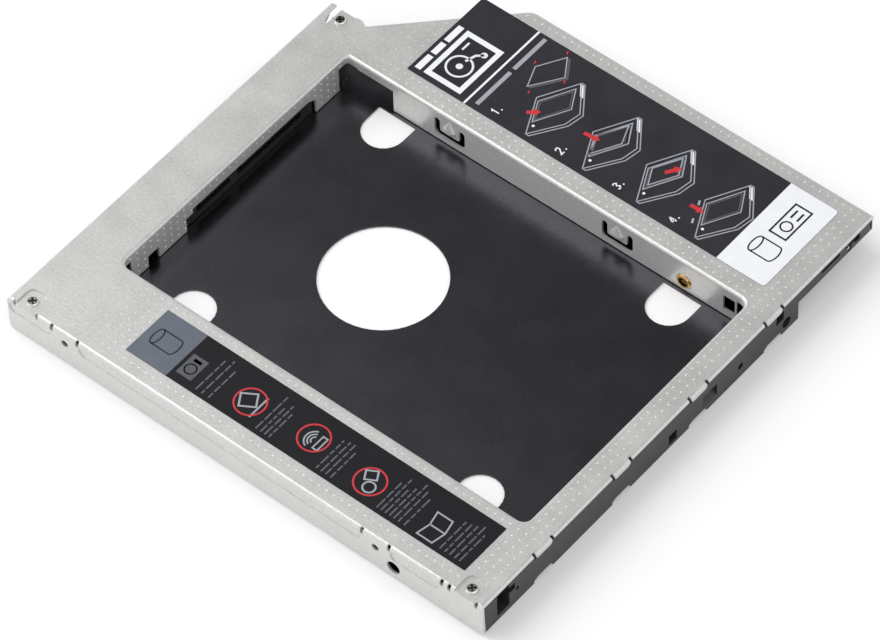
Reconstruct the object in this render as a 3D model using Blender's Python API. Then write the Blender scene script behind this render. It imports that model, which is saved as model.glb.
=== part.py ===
"""A slim-bay frame that carries a 2.5 inch drive: folded steel cover, thin steel base, moulded front bar
and a connector board along the rear edge. Metres, +Z up. The front faces -Y, and the origin is the middle of
the underside. Plan positions are measured from the left side and front edge, heights from the underside."""

import math

import bmesh
import bpy
from mathutils import Vector

MM = 0.001

# Drive that the frame takes
DRIVE_WIDTH = 69.85 * MM
DRIVE_LENGTH = 100.2 * MM
DRIVE_HOLES_FROM_SIDE = 4.075 * MM
DRIVE_HOLES_FROM_REAR = 14.0 * MM
DRIVE_HOLES_FROM_FRONT = 9.6 * MM
DRIVE_SIDE_HOLE_HEIGHT = 3.0 * MM
DRIVE_PLUG_OFFSET = 4.8 * MM  # the drive's plug sits this far right of its middle

# Whole frame
LEFT_BAR_WIDTH = 21.4 * MM
BAY_SIDE_ROOM = 1.175 * MM
RIGHT_BAR_WIDTH = 9.1 * MM  # from the bay to the step under the wing
WING_WIDTH = 25.3 * MM
FRONT_BAR_WIDTH = 6.5 * MM
BAY_FRONT_ROOM = 6.95 * MM
REAR_BAR_WIDTH = 12.45 * MM
FRAME_HEIGHT = 9.5 * MM
WING_THICKNESS = 4.3 * MM
WING_CORNER_RADIUS = 5.5 * MM
SLANT_LENGTH = 25.7 * MM  # how far back the slanted edge runs
SLANT_REAR_GAP = 10.4 * MM  # from the slanted edge's end to the rear
SLANT_END_GAP = 0.4 * MM  # the slanted edge ends this far inside the body's side
SLANT_STEP_LENGTH = 1.6 * MM
TAB_OVERHANG = 0.4 * MM  # the cover behind the slanted edge stands this far past the body's side
CLEARANCE = 0.3 * MM  # running gap between one piece and the next
PAST = 1.0 * MM  # how far a cut runs past the surface it breaks

# Bay, the opening over the drive
BAY_CORNER_RADIUS = 2.0 * MM
BAY_SHARP_CORNER_RADIUS = 0.7 * MM  # the rear right corner
CORNER_RELIEF = 2.8 * MM  # flanges stop this far short of the bay's corners
CORNER_RELIEF_TOP_GAP = 2.2 * MM

# Cover sheet
COVER_SHEET = 0.5 * MM
FOLD_RADIUS = 0.8 * MM
FOLD_STEPS = 4
LIP_DROP = 0.6 * MM
SIDE_RETURN = 0.8 * MM  # the left wall's front edge, turned inwards
SIDE_TOE_RISE = 0.4 * MM
SIDE_TOE_LENGTH = 18.0 * MM
FRONT_FLANGE_DROP = 2.5 * MM
WALL_BOTTOM = 0.3 * MM
REAR_WALL_LEFT_GAP = 6.4 * MM
REAR_WALL_RIGHT_GAP = 5.1 * MM
WING_WALL_INSET = 3.0 * MM

# Crimp tabs along the front edge
TAB_COUNT = 4
TAB_FIRST = 19.4 * MM
TAB_LAST_GAP = 8.45 * MM  # from the last tab's middle to the body's right side
TAB_WIDTH = 5.0 * MM
TAB_DROP = 1.5 * MM
TAB_CHAMFER = 0.45 * MM
TAB_NOTCH_WIDTH = 0.75 * MM
TAB_NOTCH_DEPTH = 0.9 * MM

# Right bay wall
RIGHT_WALL_REAR_GAP = 12.65 * MM
REAR_STRIP_DROP = 2.5 * MM
WINDOW_FROM_BAY_FRONT = 3.3 * MM
WINDOW_WIDTH = 3.0 * MM
WINDOW_BOTTOM = 2.5 * MM
WINDOW_HEIGHT = 4.3 * MM
FRONT_TONGUE_FROM_BAY_FRONT = 34.1 * MM
REAR_TONGUE_FROM_BAY_REAR = 28.05 * MM
TONGUE_WIDTH = 5.2 * MM
TONGUE_SLOT = 1.5 * MM
TONGUE_TOP_DROP = 2.3 * MM
TONGUE_BOTTOM = 2.0 * MM
TONGUE_TIP_GAP = 1.7 * MM
TONGUE_TIP_RADIUS = 0.4 * MM
BUMP_WIDTH = 3.5 * MM
BUMP_RISE = 0.85 * MM
BUMP_TOP_GAP = 1.4 * MM  # from the cover's top to the bump's narrow end
BUMP_TIP_GAP = 0.4 * MM  # from the tongue's tip to the bump's round end
BUMP_CREST = 0.65  # the bump is highest at this share of its length
BUMP_END = 0.06  # its ends are blunt, this share of its full size
BUMP_STEPS = 8

# Rear bay flange
FLANGE_CUT_WIDTH = 41.8 * MM
FLANGE_STRIP_BOTTOM = 5.9 * MM
FLANGE_SHOULDER = 2.2 * MM
FLANGE_SHOULDER_HEIGHT = 4.6 * MM
FLANGE_NOTCH_FROM_BAY_LEFT = 7.9 * MM
FLANGE_NOTCH_WIDTH = 3.4 * MM
FLANGE_NOTCH_TOP = 3.9 * MM

# Left side wall
FRONT_PAD_FROM_FRONT = 27.7 * MM
REAR_PAD_FROM_REAR = 15.6 * MM
SIDE_PAD_WIDTH = 7.0 * MM
SIDE_PAD_HOLE = 1.8 * MM
SIDE_PAD_HOLE_DROP = 3.2 * MM
SIDE_RECESS_DEPTH = 0.25 * MM
SIDE_RECESS_BOTTOM = 5.6 * MM
SIDE_RECESS_RADIUS = 2.6 * MM
SIDE_RECESS_GAP = 0.3 * MM
ACCESS_HOLE = 3.3 * MM
FOLD_SLOT_WIDTH = 0.8 * MM
FOLD_SLOT_HEIGHT = 1.3 * MM
FOLD_SLOT_RADIUS = 0.3 * MM
FOLD_SLOT_TOP_DROP = 0.24 * MM
FOLD_SLOT_DEPTH = 0.72 * MM
FRONT_CORNER_SLOTS = (1.8 * MM, 8.7 * MM, 10.6 * MM)
REAR_CORNER_SLOTS = (7.9 * MM, 1.9 * MM)

# Screw dishes pressed into the cover's corners
DISH_DEPTH = 0.5 * MM
DISH_WIDTH = 5.2 * MM
DISH_REACH = 2.7 * MM
DISH_RADIUS = 1.6 * MM
SCREW_FROM_SIDE = 2.6 * MM
SCREW_FROM_EDGE = 4.8 * MM
TAB_SLIT_FROM_REAR = 3.0 * MM
TAB_SLIT_WIDTH = 1.3 * MM
TAB_SLIT_LENGTH = 4.9 * MM
TAB_SLIT_END = 0.5 * MM

# Screws and posts
SCREW_HEAD = 2.5 * MM
SCREW_HEAD_HEIGHT = 0.5 * MM
SCREW_HEAD_RIM = 0.3 * MM
SCREW_HEAD_CHAMFER = 0.19 * MM
SCREW_SHANK = 1.4 * MM
SCREW_POINT = 0.28 * MM
COVER_SCREW_LENGTH = 4.0 * MM
BOARD_SCREW_LENGTH = 1.5 * MM
BAR_SCREW_LENGTH = 3.6 * MM
SCREW_SLOT_WIDTH = 0.45 * MM
SCREW_SLOT_LENGTH = 1.7 * MM
SCREW_SLOT_DEPTH = 0.35 * MM
POST_DIAMETER = 2.9 * MM
POST_CHAMFER = 0.2 * MM

# Base sheet
BASE_SHEET = 0.4 * MM
BASE_FRONT = 1.8 * MM
STEP_RADIUS = 0.55 * MM
FLOOR_HOLE = 27.8 * MM
FLOOR_HOLE_FROM_BAY_REAR = 39.85 * MM
SCREW_OPENING = 10.1 * MM
SCREW_OPENING_MARGIN = 0.7 * MM
SCREW_OPENING_LEAD = 0.3 * MM  # the openings sit this far ahead of the drive's holes
BAR_SEAT_HEIGHT = 0.6 * MM
BOARD_SEAT_HEIGHT = 0.4 * MM
SEAT_DIAMETER = 5.2 * MM

# Front bar
BAR_FACE = 0.3 * MM
BAR_THICKNESS = 5.3 * MM
BAR_NOTCH_WIDTH = 6.0 * MM
BAR_NOTCH_HEIGHT = 1.2 * MM
BAR_NOTCH_LEFT_RUN = 1.2 * MM
BAR_NOTCH_LEFT_RISE = 0.7 * MM
BAR_NOTCH_RIGHT_RUN = 0.6 * MM
BAR_RIB_SPACING = 12.475 * MM
BAR_RIB_WIDTH = 1.6 * MM
BAR_CORE_BOTTOM = 2.4 * MM
BAR_CORE_TOP_GAP = 1.5 * MM
BAR_CORE_DEPTH = 1.4 * MM
BAR_BOSS_WIDTH = 4.9 * MM
BAR_BOSS_LENGTH = 2.4 * MM
BAR_SCREW_FROM_LEFT = 13.2 * MM
BAR_SCREW_FROM_STEP = 15.1 * MM
BAR_SCREW_FROM_FRONT = 3.9 * MM


def in_mm(*values):
    return tuple(value * MM for value in values)


# Clip pockets in the bar's face: distance to the near side, bottom, width, height and depth
BAR_POCKETS_FROM_LEFT = (in_mm(4.8, 1.5, 3.8, 6.4, 3.0), in_mm(8.6, 5.0, 1.8, 1.8, 2.0))
BAR_POCKETS_FROM_STEP = (in_mm(40.4, 0.9, 2.6, 2.9, 3.0), in_mm(5.0, 4.7, 2.5, 2.8, 3.0))
# The wing's pockets are measured from its right side and from its underside
BAR_POCKETS_FROM_WING = (
    in_mm(11.4, 1.8, 6.2, 0.8, 1.2),
    in_mm(6.4, 1.9, 3.0, 0.8, 1.2),
    in_mm(4.6, 1.1, 1.8, 1.6, 2.0),
    in_mm(0.7, 1.0, 0.4, 1.7, 1.2),
)
# Round holes in the bar's face: distance, height and diameter
BAR_HOLES_FROM_LEFT = (in_mm(11.2, 4.2, 1.0),)
BAR_HOLES_FROM_STEP = (in_mm(19.4, 3.4, 1.7), in_mm(4.0, 2.6, 2.8))
BAR_HOLE_DEPTH = 3.0 * MM
BAR_POCKET_RADIUS = 0.2 * MM
RAMP_FROM_STEP = 27.2 * MM
RAMP_WIDTH = 4.7 * MM
RAMP_BOTTOM = 1.8 * MM
RAMP_HEIGHT = 3.6 * MM
RAMP_DEPTH = 2.6 * MM
RAMP_ROOF_DROP = 0.8 * MM
SIGHT_HOLE_FROM_RIGHT = 8.2 * MM
SIGHT_HOLE_RISE = 1.15 * MM
SIGHT_HOLE = 1.6 * MM
SIGHT_HOLE_DEPTH = 0.7 * MM
SIGHT_SHAFT_SKIN = 0.35 * MM

# Connector board and what stands on it
BOARD_THICKNESS = 1.0 * MM
BOARD_LEFT_MARGIN = 0.6 * MM
BOARD_STEP_GAP = 5.0 * MM
BOARD_REAR_GAP = 0.6 * MM
BOARD_SCREW_FROM_LEFT = 3.7 * MM
BOARD_SCREW_FROM_RIGHT = 1.9 * MM
BOARD_SCREW_FROM_REAR = 2.7 * MM
BOARD_HOLE = 2.0 * MM
FILM_THICKNESS = 0.1 * MM
DRIVE_CONNECTOR_WIDTH = 40.8 * MM
DRIVE_CONNECTOR_DEPTH = 4.9 * MM
DRIVE_CONNECTOR_HEIGHT = 4.9 * MM
DRIVE_CONNECTOR_CHAMFER = 0.5 * MM
DRIVE_SLOT_BOTTOM = 1.5 * MM
DRIVE_SLOT_HEIGHT = 1.7 * MM
DRIVE_SLOT_DEPTH = 3.6 * MM
DRIVE_SLOTS = (in_mm(-16.8, 10.6), in_mm(-3.8, 20.6))  # start from the plug's middle, and width
DRIVE_SLOT_KEY = in_mm(1.3, 1.0)
HOST_CONNECTOR_FROM_STEP = 10.0 * MM
HOST_CONNECTOR_WIDTH = 33.4 * MM
HOST_CONNECTOR_GAP = 1.0 * MM  # from the drive connector to the host connector
HOST_CONNECTOR_HEIGHT = 4.9 * MM
HOST_SHROUD = 0.8 * MM
HOST_BACK = 1.2 * MM
HOST_TONGUE = 1.2 * MM
HOST_TONGUE_RISE = 1.6 * MM
HOST_TONGUES = (in_mm(3.6, 10.2), in_mm(17.4, 9.0))  # start from the housing's left side, and width
HOST_TONGUE_KEY = in_mm(1.1, 0.9)
CAPACITORS = (in_mm(2.0, 1.2, 1.0), in_mm(1.6, 0.8, 0.8), in_mm(1.6, 0.8, 0.8), in_mm(1.6, 0.8, 0.8))

# Threaded bush in the right bay wall
BUSH_HEAD = 3.8 * MM
BUSH_HEAD_HEIGHT = 0.35 * MM
BUSH_HEAD_CHAMFER = 0.15 * MM
BUSH_BARREL = 2.9 * MM
BUSH_BORE = 2.4 * MM
BUSH_LENGTH = 2.6 * MM

# Labels
LABEL_THICKNESS = 0.1 * MM
LABEL_CORNER_RADIUS = 0.4 * MM
SIDE_LABEL_FROM_LEFT = 4.9 * MM
SIDE_LABEL_FROM_BAY = 3.3 * MM
SIDE_LABEL_FROM_FRONT = 8.6 * MM
SIDE_LABEL_FROM_REAR = 28.2 * MM
WING_LABEL_FROM_BAY = 5.1 * MM
WING_LABEL_FROM_RIGHT = 3.9 * MM
WING_LABEL_FROM_FRONT = 6.3 * MM
WING_LABEL_FROM_SLANT = 4.1 * MM
WING_LABEL_HEAD_WIDTH = 16.5 * MM
WING_LABEL_HEAD_LENGTH = 15.4 * MM
WING_LABEL_SWEEP = 5.0 * MM

# Worked out from the sizes above
BAY_LEFT = LEFT_BAR_WIDTH
BAY_RIGHT = BAY_LEFT + DRIVE_WIDTH + 2 * BAY_SIDE_ROOM
BAY_FRONT = FRONT_BAR_WIDTH
BAY_REAR = BAY_FRONT + BAY_FRONT_ROOM + DRIVE_LENGTH
BODY_WIDTH = BAY_RIGHT + RIGHT_BAR_WIDTH
FRAME_WIDTH = BODY_WIDTH + WING_WIDTH
FRAME_DEPTH = BAY_REAR + REAR_BAR_WIDTH
REAR_STRIP_WIDTH = BODY_WIDTH + TAB_OVERHANG
SLANT_REAR = FRAME_DEPTH - SLANT_REAR_GAP
WING_SIDE_LENGTH = SLANT_REAR - SLANT_LENGTH
WING_UNDERSIDE = FRAME_HEIGHT - WING_THICKNESS
COVER_UNDERSIDE = FRAME_HEIGHT - COVER_SHEET
DRIVE_MIDDLE = (BAY_LEFT + BAY_RIGHT) / 2
REAR_HOLES = BAY_REAR - DRIVE_HOLES_FROM_REAR
FRONT_HOLES = BAY_REAR - DRIVE_LENGTH + DRIVE_HOLES_FROM_FRONT
SIDE_HOLE_LEVEL = BASE_SHEET + DRIVE_SIDE_HOLE_HEIGHT
SIDE_PADS = (FRONT_PAD_FROM_FRONT, FRAME_DEPTH - REAR_PAD_FROM_REAR)
CORNER_SLOTS = FRONT_CORNER_SLOTS + tuple(FRAME_DEPTH - gap for gap in REAR_CORNER_SLOTS)
TAB_PITCH = (BODY_WIDTH - TAB_LAST_GAP - TAB_FIRST) / (TAB_COUNT - 1)
TAB_PLACES = [TAB_FIRST + index * TAB_PITCH for index in range(TAB_COUNT)]
TONGUE_PLACES = (BAY_FRONT + FRONT_TONGUE_FROM_BAY_FRONT, BAY_REAR - REAR_TONGUE_FROM_BAY_REAR)
TONGUE_TOP = FRAME_HEIGHT - TONGUE_TOP_DROP
FRONT_SCREW = (SCREW_FROM_SIDE, SCREW_FROM_EDGE)
REAR_SCREW = (SCREW_FROM_SIDE, FRAME_DEPTH - SCREW_FROM_EDGE)
TAB_SCREW = (REAR_STRIP_WIDTH - SCREW_FROM_SIDE, FRAME_DEPTH - SCREW_FROM_EDGE)
BAR_SCREWS = (BAR_SCREW_FROM_LEFT, BODY_WIDTH - BAR_SCREW_FROM_STEP)
BAR_REAR = BAR_FACE + BAR_THICKNESS
BAR_TOP = COVER_UNDERSIDE - 0.5 * CLEARANCE
PLUG_MIDDLE = DRIVE_MIDDLE + DRIVE_PLUG_OFFSET
CONNECTOR_FRONT = BAY_REAR + COVER_SHEET + CLEARANCE
CONNECTOR_REAR = CONNECTOR_FRONT + DRIVE_CONNECTOR_DEPTH
BOARD_FLOOR = BASE_SHEET + BOARD_SEAT_HEIGHT
BOARD_TOP = BOARD_FLOOR + BOARD_THICKNESS
BOARD_LEFT = PLUG_MIDDLE - DRIVE_CONNECTOR_WIDTH / 2 - BOARD_LEFT_MARGIN
BOARD_RIGHT = BODY_WIDTH - BOARD_STEP_GAP
BOARD_FRONT = CONNECTOR_REAR + CLEARANCE
BOARD_REAR = FRAME_DEPTH - COVER_SHEET - BOARD_REAR_GAP
BOARD_SCREWS = (BOARD_LEFT + BOARD_SCREW_FROM_LEFT, BOARD_RIGHT - BOARD_SCREW_FROM_RIGHT)
BOARD_SCREW_ROW = BOARD_REAR - BOARD_SCREW_FROM_REAR
HOST_CONNECTOR_RIGHT = BODY_WIDTH - HOST_CONNECTOR_FROM_STEP
HOST_CONNECTOR_LEFT = HOST_CONNECTOR_RIGHT - HOST_CONNECTOR_WIDTH


# Plan and section helpers


def across(distance):
    """World X of a distance from the left side."""
    return distance - FRAME_WIDTH / 2


def along(distance):
    """World Y of a distance from the front edge."""
    return distance - FRAME_DEPTH / 2


def rectangle(low_u, low_v, high_u, high_v):
    return [(low_u, low_v), (high_u, low_v), (high_u, high_v), (low_u, high_v)]


def arc(centre, radius, start, end, steps):
    """Points on an arc, angles in degrees."""
    turns = [math.radians(start + (end - start) * index / steps) for index in range(steps + 1)]
    return [(centre[0] + radius * math.cos(turn), centre[1] + radius * math.sin(turn)) for turn in turns]


def circle(centre, radius, steps=24):
    return arc(centre, radius, 0, 360, steps)[:-1]


def rounded_corners(low_u, low_v, high_u, high_v, radii, steps=5):
    """A rectangle with its own radius at each corner: high high, low high, low low, high low."""
    outline = []
    for turn, radius in enumerate(radii):
        u = high_u - radius if turn in (0, 3) else low_u + radius
        v = high_v - radius if turn < 2 else low_v + radius
        outline += arc((u, v), radius, 90 * turn, 90 * turn + 90, steps)
    return outline


def rounded_rectangle(low_u, low_v, high_u, high_v, radius, steps=5):
    radius = min(radius, 0.499 * (high_u - low_u), 0.499 * (high_v - low_v))
    return rounded_corners(low_u, low_v, high_u, high_v, 4 * [radius], steps)


def shifted_outline(points, shifts):
    """The outline with each edge moved inwards by its own amount; edge i starts at point i."""
    count = len(points)
    lines = []
    for index in range(count):
        start = Vector(points[index])
        way = (Vector(points[(index + 1) % count]) - start).normalized()
        lines.append((start + shifts[index] * Vector((-way.y, way.x)), way))
    moved = []
    for index in range(count):
        before, way_before = lines[index - 1]
        start, way = lines[index]
        reach = (start - before).cross(way) / way_before.cross(way)
        moved.append(tuple(before + reach * way_before))
    return moved


def loft(rings):
    """A closed solid through rings of equal length, each a list of world points, first to last."""
    mesh = bmesh.new()
    rows = [[mesh.verts.new(point) for point in ring] for ring in rings]
    count = len(rows[0])
    mesh.faces.new(rows[0][::-1])
    mesh.faces.new(rows[-1])
    for lower, upper in zip(rows, rows[1:]):
        for index in range(count):
            after = (index + 1) % count
            mesh.faces.new((lower[index], lower[after], upper[after], upper[index]))
    bmesh.ops.recalc_face_normals(mesh, faces=mesh.faces)
    return mesh


def plan_ring(outline, height):
    return [(across(u), along(v), height) for u, v in outline]


def plan_prism(outline, low, high):
    """Solid over a plan outline, between two heights."""
    return loft([plan_ring(outline, low), plan_ring(outline, high)])


def front_prism(outline, front, rear):
    """Solid over an outline seen from the front (left distance, height), between two depths."""
    return loft([[(across(u), along(depth), v) for u, v in outline] for depth in (front, rear)])


def side_prism(outline, left, right):
    """Solid over an outline seen from the side (front distance, height), between two widths."""
    return loft([[(across(width), along(u), v) for u, v in outline] for width in (left, right)])


def turned(profile, steps=24):
    """Solid of revolution about Z from (radius, height) points; a radius of 0 closes on the axis."""
    mesh = bmesh.new()
    points = [mesh.verts.new((radius, 0, height)) for radius, height in profile]
    edges = [mesh.edges.new(pair) for pair in zip(points, points[1:])]
    if profile[0][0] > 0:
        edges.append(mesh.edges.new((points[-1], points[0])))
    bmesh.ops.spin(mesh, geom=points + edges, axis=(0, 0, 1), cent=(0, 0, 0), angle=2 * math.pi, steps=steps)
    bmesh.ops.remove_doubles(mesh, verts=mesh.verts, dist=0.001 * MM)
    bmesh.ops.recalc_face_normals(mesh, faces=mesh.faces)
    return mesh


# Object helpers


def clear_scene():
    for obj in list(bpy.data.objects):
        bpy.data.objects.remove(obj, do_unlink=True)


def finish_material(name, colour, roughness, metallic):
    material = bpy.data.materials.new(name)
    material.use_nodes = True
    shader = material.node_tree.nodes["Principled BSDF"]
    shader.inputs["Base Color"].default_value = (*colour, 1.0)
    shader.inputs["Roughness"].default_value = roughness
    shader.inputs["Metallic"].default_value = metallic
    return material


def plated_steel():
    return finish_material("tin_plated_steel", (0.62, 0.61, 0.60), 0.35, 0.9)


def black_coating():
    return finish_material("black_coated_steel", (0.02, 0.02, 0.023), 0.28, 0.0)


def black_moulding():
    return finish_material("black_moulded_plastic", (0.05, 0.05, 0.052), 0.5, 0.0)


def screw_steel():
    return finish_material("screw_steel", (0.5, 0.5, 0.5), 0.3, 1.0)


def turned_brass():
    return finish_material("turned_brass", (0.6, 0.42, 0.18), 0.3, 1.0)


def board_laminate():
    return finish_material("board_laminate", (0.03, 0.12, 0.06), 0.45, 0.0)


def film_plastic():
    return finish_material("insulating_film", (0.03, 0.03, 0.03), 0.3, 0.0)


def ceramic():
    return finish_material("capacitor_ceramic", (0.45, 0.33, 0.2), 0.5, 0.0)


def label_film(name, colour):
    return finish_material(name, colour, 0.4, 0.0)


def place(name, mesh, material=None, at=(0, 0, 0)):
    data = bpy.data.meshes.new(name)
    mesh.to_mesh(data)
    mesh.free()
    obj = bpy.data.objects.new(name, data)
    obj.location = at
    bpy.context.scene.collection.objects.link(obj)
    if material:
        data.materials.append(material)
    return obj


def helper_set(name, meshes):
    """A collection of hidden helper solids, one for each mesh."""
    group = bpy.data.collections.new(name)
    bpy.context.scene.collection.children.link(group)
    for index, mesh in enumerate(meshes):
        helper = place(f"{name}_{index + 1}", mesh)
        bpy.context.scene.collection.objects.unlink(helper)
        group.objects.link(helper)
        helper.hide_render = True
        helper.display_type = "WIRE"
    return group


def combine(obj, operation, group):
    modifier = obj.modifiers.new(group.name, "BOOLEAN")
    modifier.operation = operation
    modifier.operand_type = "COLLECTION"
    modifier.collection = group
    modifier.solver = "EXACT"
    return modifier


def cut(obj, meshes):
    combine(obj, "DIFFERENCE", helper_set(f"{obj.name}_cuts_{len(obj.modifiers)}", meshes))


def add(obj, meshes):
    combine(obj, "UNION", helper_set(f"{obj.name}_adds_{len(obj.modifiers)}", meshes))


def smooth_rounds(obj, angle=35):
    obj.data.shade_smooth()
    obj.data.set_sharp_from_angle(angle=math.radians(angle))


# Cover


def cover_outline():
    """Plan outline from the front left corner, anticlockwise, with each edge marked folded or plain."""
    corners = [(0, 0), (FRAME_WIDTH, 0), (FRAME_WIDTH, WING_SIDE_LENGTH)]
    corners.append((BODY_WIDTH - SLANT_END_GAP, SLANT_REAR))
    corners.append((REAR_STRIP_WIDTH, SLANT_REAR + SLANT_STEP_LENGTH))
    corners += [(REAR_STRIP_WIDTH, FRAME_DEPTH), (0, FRAME_DEPTH)]
    return corners, (True, True, False, False, False, True, True)


def folded_rings(bottom, top, radius, wall, open_shift):
    """Rings of a lidded shape whose folded edges round over into the top; plain edges move by open_shift."""
    corners, folded = cover_outline()
    rings = []
    turns = [(0.0, bottom)] + [(90 * step / FOLD_STEPS, None) for step in range(FOLD_STEPS + 1)]
    for angle, height in turns:
        inset = wall + radius * (1 - math.cos(math.radians(angle)))
        level = top - radius + radius * math.sin(math.radians(angle)) if height is None else height
        shifts = [inset if fold else open_shift for fold in folded]
        rings.append(plan_ring(shifted_outline(corners, shifts), level))
    return rings


def bay_rings(bottom, top, radius, grow, cap):
    """Rings of the bay's opening, which widens into a fold at its top edge and runs on up to cap."""
    steps = [(0.0, bottom)] + [(90 * step / FOLD_STEPS, None) for step in range(FOLD_STEPS + 1)]
    steps.append((90.0, cap))
    rings = []
    for angle, height in steps:
        out = grow + radius * (1 - math.cos(math.radians(angle)))
        level = top - radius + radius * math.sin(math.radians(angle)) if height is None else height
        sides = (BAY_LEFT - out, BAY_FRONT - out, BAY_RIGHT + out, BAY_REAR + out)
        radii = [BAY_SHARP_CORNER_RADIUS + out] + 3 * [BAY_CORNER_RADIUS + out]
        rings.append(plan_ring(rounded_corners(*sides, radii), level))
    return rings


def dish_outline(screw, side, grow=0.0):
    """Plan of a screw dish, open past the cover's left (-1) or right (+1) edge."""
    inner = screw[0] - side * (DISH_REACH + grow)
    outer = -PAST if side < 0 else REAR_STRIP_WIDTH + PAST
    half = DISH_WIDTH / 2 + grow
    reach = sorted((inner, outer))
    return rounded_rectangle(reach[0], screw[1] - half, reach[1], screw[1] + half, DISH_RADIUS + grow)


def cover_dishes():
    return ((FRONT_SCREW, -1), (REAR_SCREW, -1), (TAB_SCREW, 1))


def side_recesses():
    """Front and rear end of each shallow recess along the upper left wall, between the screw pads."""
    half = SIDE_PAD_WIDTH / 2 + SIDE_RECESS_GAP
    front_end = CORNER_SLOTS[2] + FOLD_SLOT_WIDTH
    rear_end = FRAME_DEPTH - SIDE_RECESS_GAP
    first, second = SIDE_PADS
    return ((front_end, first - half), (first + half, second - half), (second + half, rear_end))


def recess_outline(front, rear, grow=0.0):
    top = FRAME_HEIGHT - FOLD_RADIUS + grow
    corners = (front - grow, SIDE_RECESS_BOTTOM - grow, rear + grow, top)
    return rounded_rectangle(*corners, SIDE_RECESS_RADIUS + grow)


def cover_void():
    """The space under the cover, with the pressed forms of the dishes and side recesses left out of it."""
    inner = FOLD_RADIUS - COVER_SHEET
    void = place("cover_void", loft(folded_rings(-PAST, COVER_UNDERSIDE, inner, COVER_SHEET, -PAST)))
    void.hide_render = True
    void.display_type = "WIRE"
    keep = [loft(bay_rings(-2 * PAST, COVER_UNDERSIDE, inner, COVER_SHEET, COVER_UNDERSIDE + PAST))]
    for screw, side in cover_dishes():
        floor = COVER_UNDERSIDE - DISH_DEPTH
        keep.append(plan_prism(dish_outline(screw, side, COVER_SHEET), floor, COVER_UNDERSIDE + PAST))
    for front, rear in side_recesses():
        outline = recess_outline(front, rear, COVER_SHEET)
        keep.append(side_prism(outline, -PAST, COVER_SHEET + SIDE_RECESS_DEPTH))
    cut(void, keep)
    return void


def front_edge_cut():
    """Trims the front wall to a narrow lip, with a longer crimp tab at each tab place."""
    lip = FRAME_HEIGHT - LIP_DROP
    tab = FRAME_HEIGHT - TAB_DROP
    outline = [(FRAME_WIDTH + PAST, -PAST), (FRAME_WIDTH + PAST, lip)]
    for middle in reversed(TAB_PLACES):
        right, left = middle + TAB_WIDTH / 2, middle - TAB_WIDTH / 2
        outline += [(right, lip), (right, tab + TAB_CHAMFER), (right - TAB_CHAMFER, tab)]
        outline += [(left + TAB_CHAMFER, tab), (left, tab + TAB_CHAMFER), (left, lip)]
    outline += [(COVER_SHEET, lip), (SIDE_RETURN, -PAST)]
    return front_prism(outline, -PAST, FOLD_RADIUS)


def tab_notches():
    notches = []
    for middle in TAB_PLACES:
        for side in (-1, 1):
            edge = middle + side * TAB_WIDTH / 2
            left, right = sorted((edge, edge + side * TAB_NOTCH_WIDTH))
            notches.append(plan_prism(rectangle(left, -PAST, right, TAB_NOTCH_DEPTH), 0, FRAME_HEIGHT + PAST))
    return notches


def fold_slots():
    """Relief slots in the left fold, at both ends of each pad and around the two corners."""
    half_pad = SIDE_PAD_WIDTH / 2
    places = [middle + side * half_pad for middle in SIDE_PADS for side in (-1, 1)]
    top = FRAME_HEIGHT - FOLD_SLOT_TOP_DROP
    slots = []
    for middle in places + list(CORNER_SLOTS):
        front, rear = middle - FOLD_SLOT_WIDTH / 2, middle + FOLD_SLOT_WIDTH / 2
        outline = rounded_rectangle(front, top - FOLD_SLOT_HEIGHT, rear, top + PAST, FOLD_SLOT_RADIUS, 2)
        slots.append(side_prism(outline, -PAST, FOLD_SLOT_DEPTH))
    return slots


def side_wall_cuts():
    """Lower edge of the left wall, its pad holes, the drive's screw access hole, and the recesses."""
    cuts = []
    for front, rear in side_recesses():
        cuts.append(side_prism(recess_outline(front, rear), -PAST, SIDE_RECESS_DEPTH))
    level = FRAME_HEIGHT - SIDE_PAD_HOLE_DROP
    for middle in SIDE_PADS:
        cuts.append(side_prism(circle((middle, level), SIDE_PAD_HOLE / 2, 16), -PAST, 2 * PAST))
    access = circle((FRONT_HOLES, SIDE_HOLE_LEVEL), ACCESS_HOLE / 2)
    cuts.append(side_prism(access, -PAST, BAY_LEFT + PAST))
    toe = [(-PAST, 0), (SIDE_TOE_LENGTH, 0), (SIDE_TOE_LENGTH, WALL_BOTTOM)]
    toe.append((-PAST, WALL_BOTTOM + SIDE_TOE_RISE))
    cuts.append(side_prism(toe, -PAST, SIDE_RETURN + PAST))
    return cuts


def corner_cut(before, corner, after, radius):
    """What rounding a corner takes away, with its outer side well past the corner."""
    corner, before, after = Vector(corner), Vector(before), Vector(after)
    way_in, way_out = (before - corner).normalized(), (after - corner).normalized()
    half = way_in.angle(way_out) / 2
    centre = corner + (way_in + way_out).normalized() * radius / math.sin(half)
    start = corner + way_in * radius / math.tan(half) - centre
    end = corner + way_out * radius / math.tan(half) - centre
    low, high = (math.degrees(math.atan2(spoke.y, spoke.x)) for spoke in (start, end))
    rim = arc(centre, radius, low, high, 6)
    apex = corner + (corner - centre).normalized() * 2 * PAST
    outer_start = Vector(rim[0]) + start.normalized() * PAST
    outer_end = Vector(rim[-1]) + end.normalized() * PAST
    return rim + [tuple(outer_end), tuple(apex), tuple(outer_start)]


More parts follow.
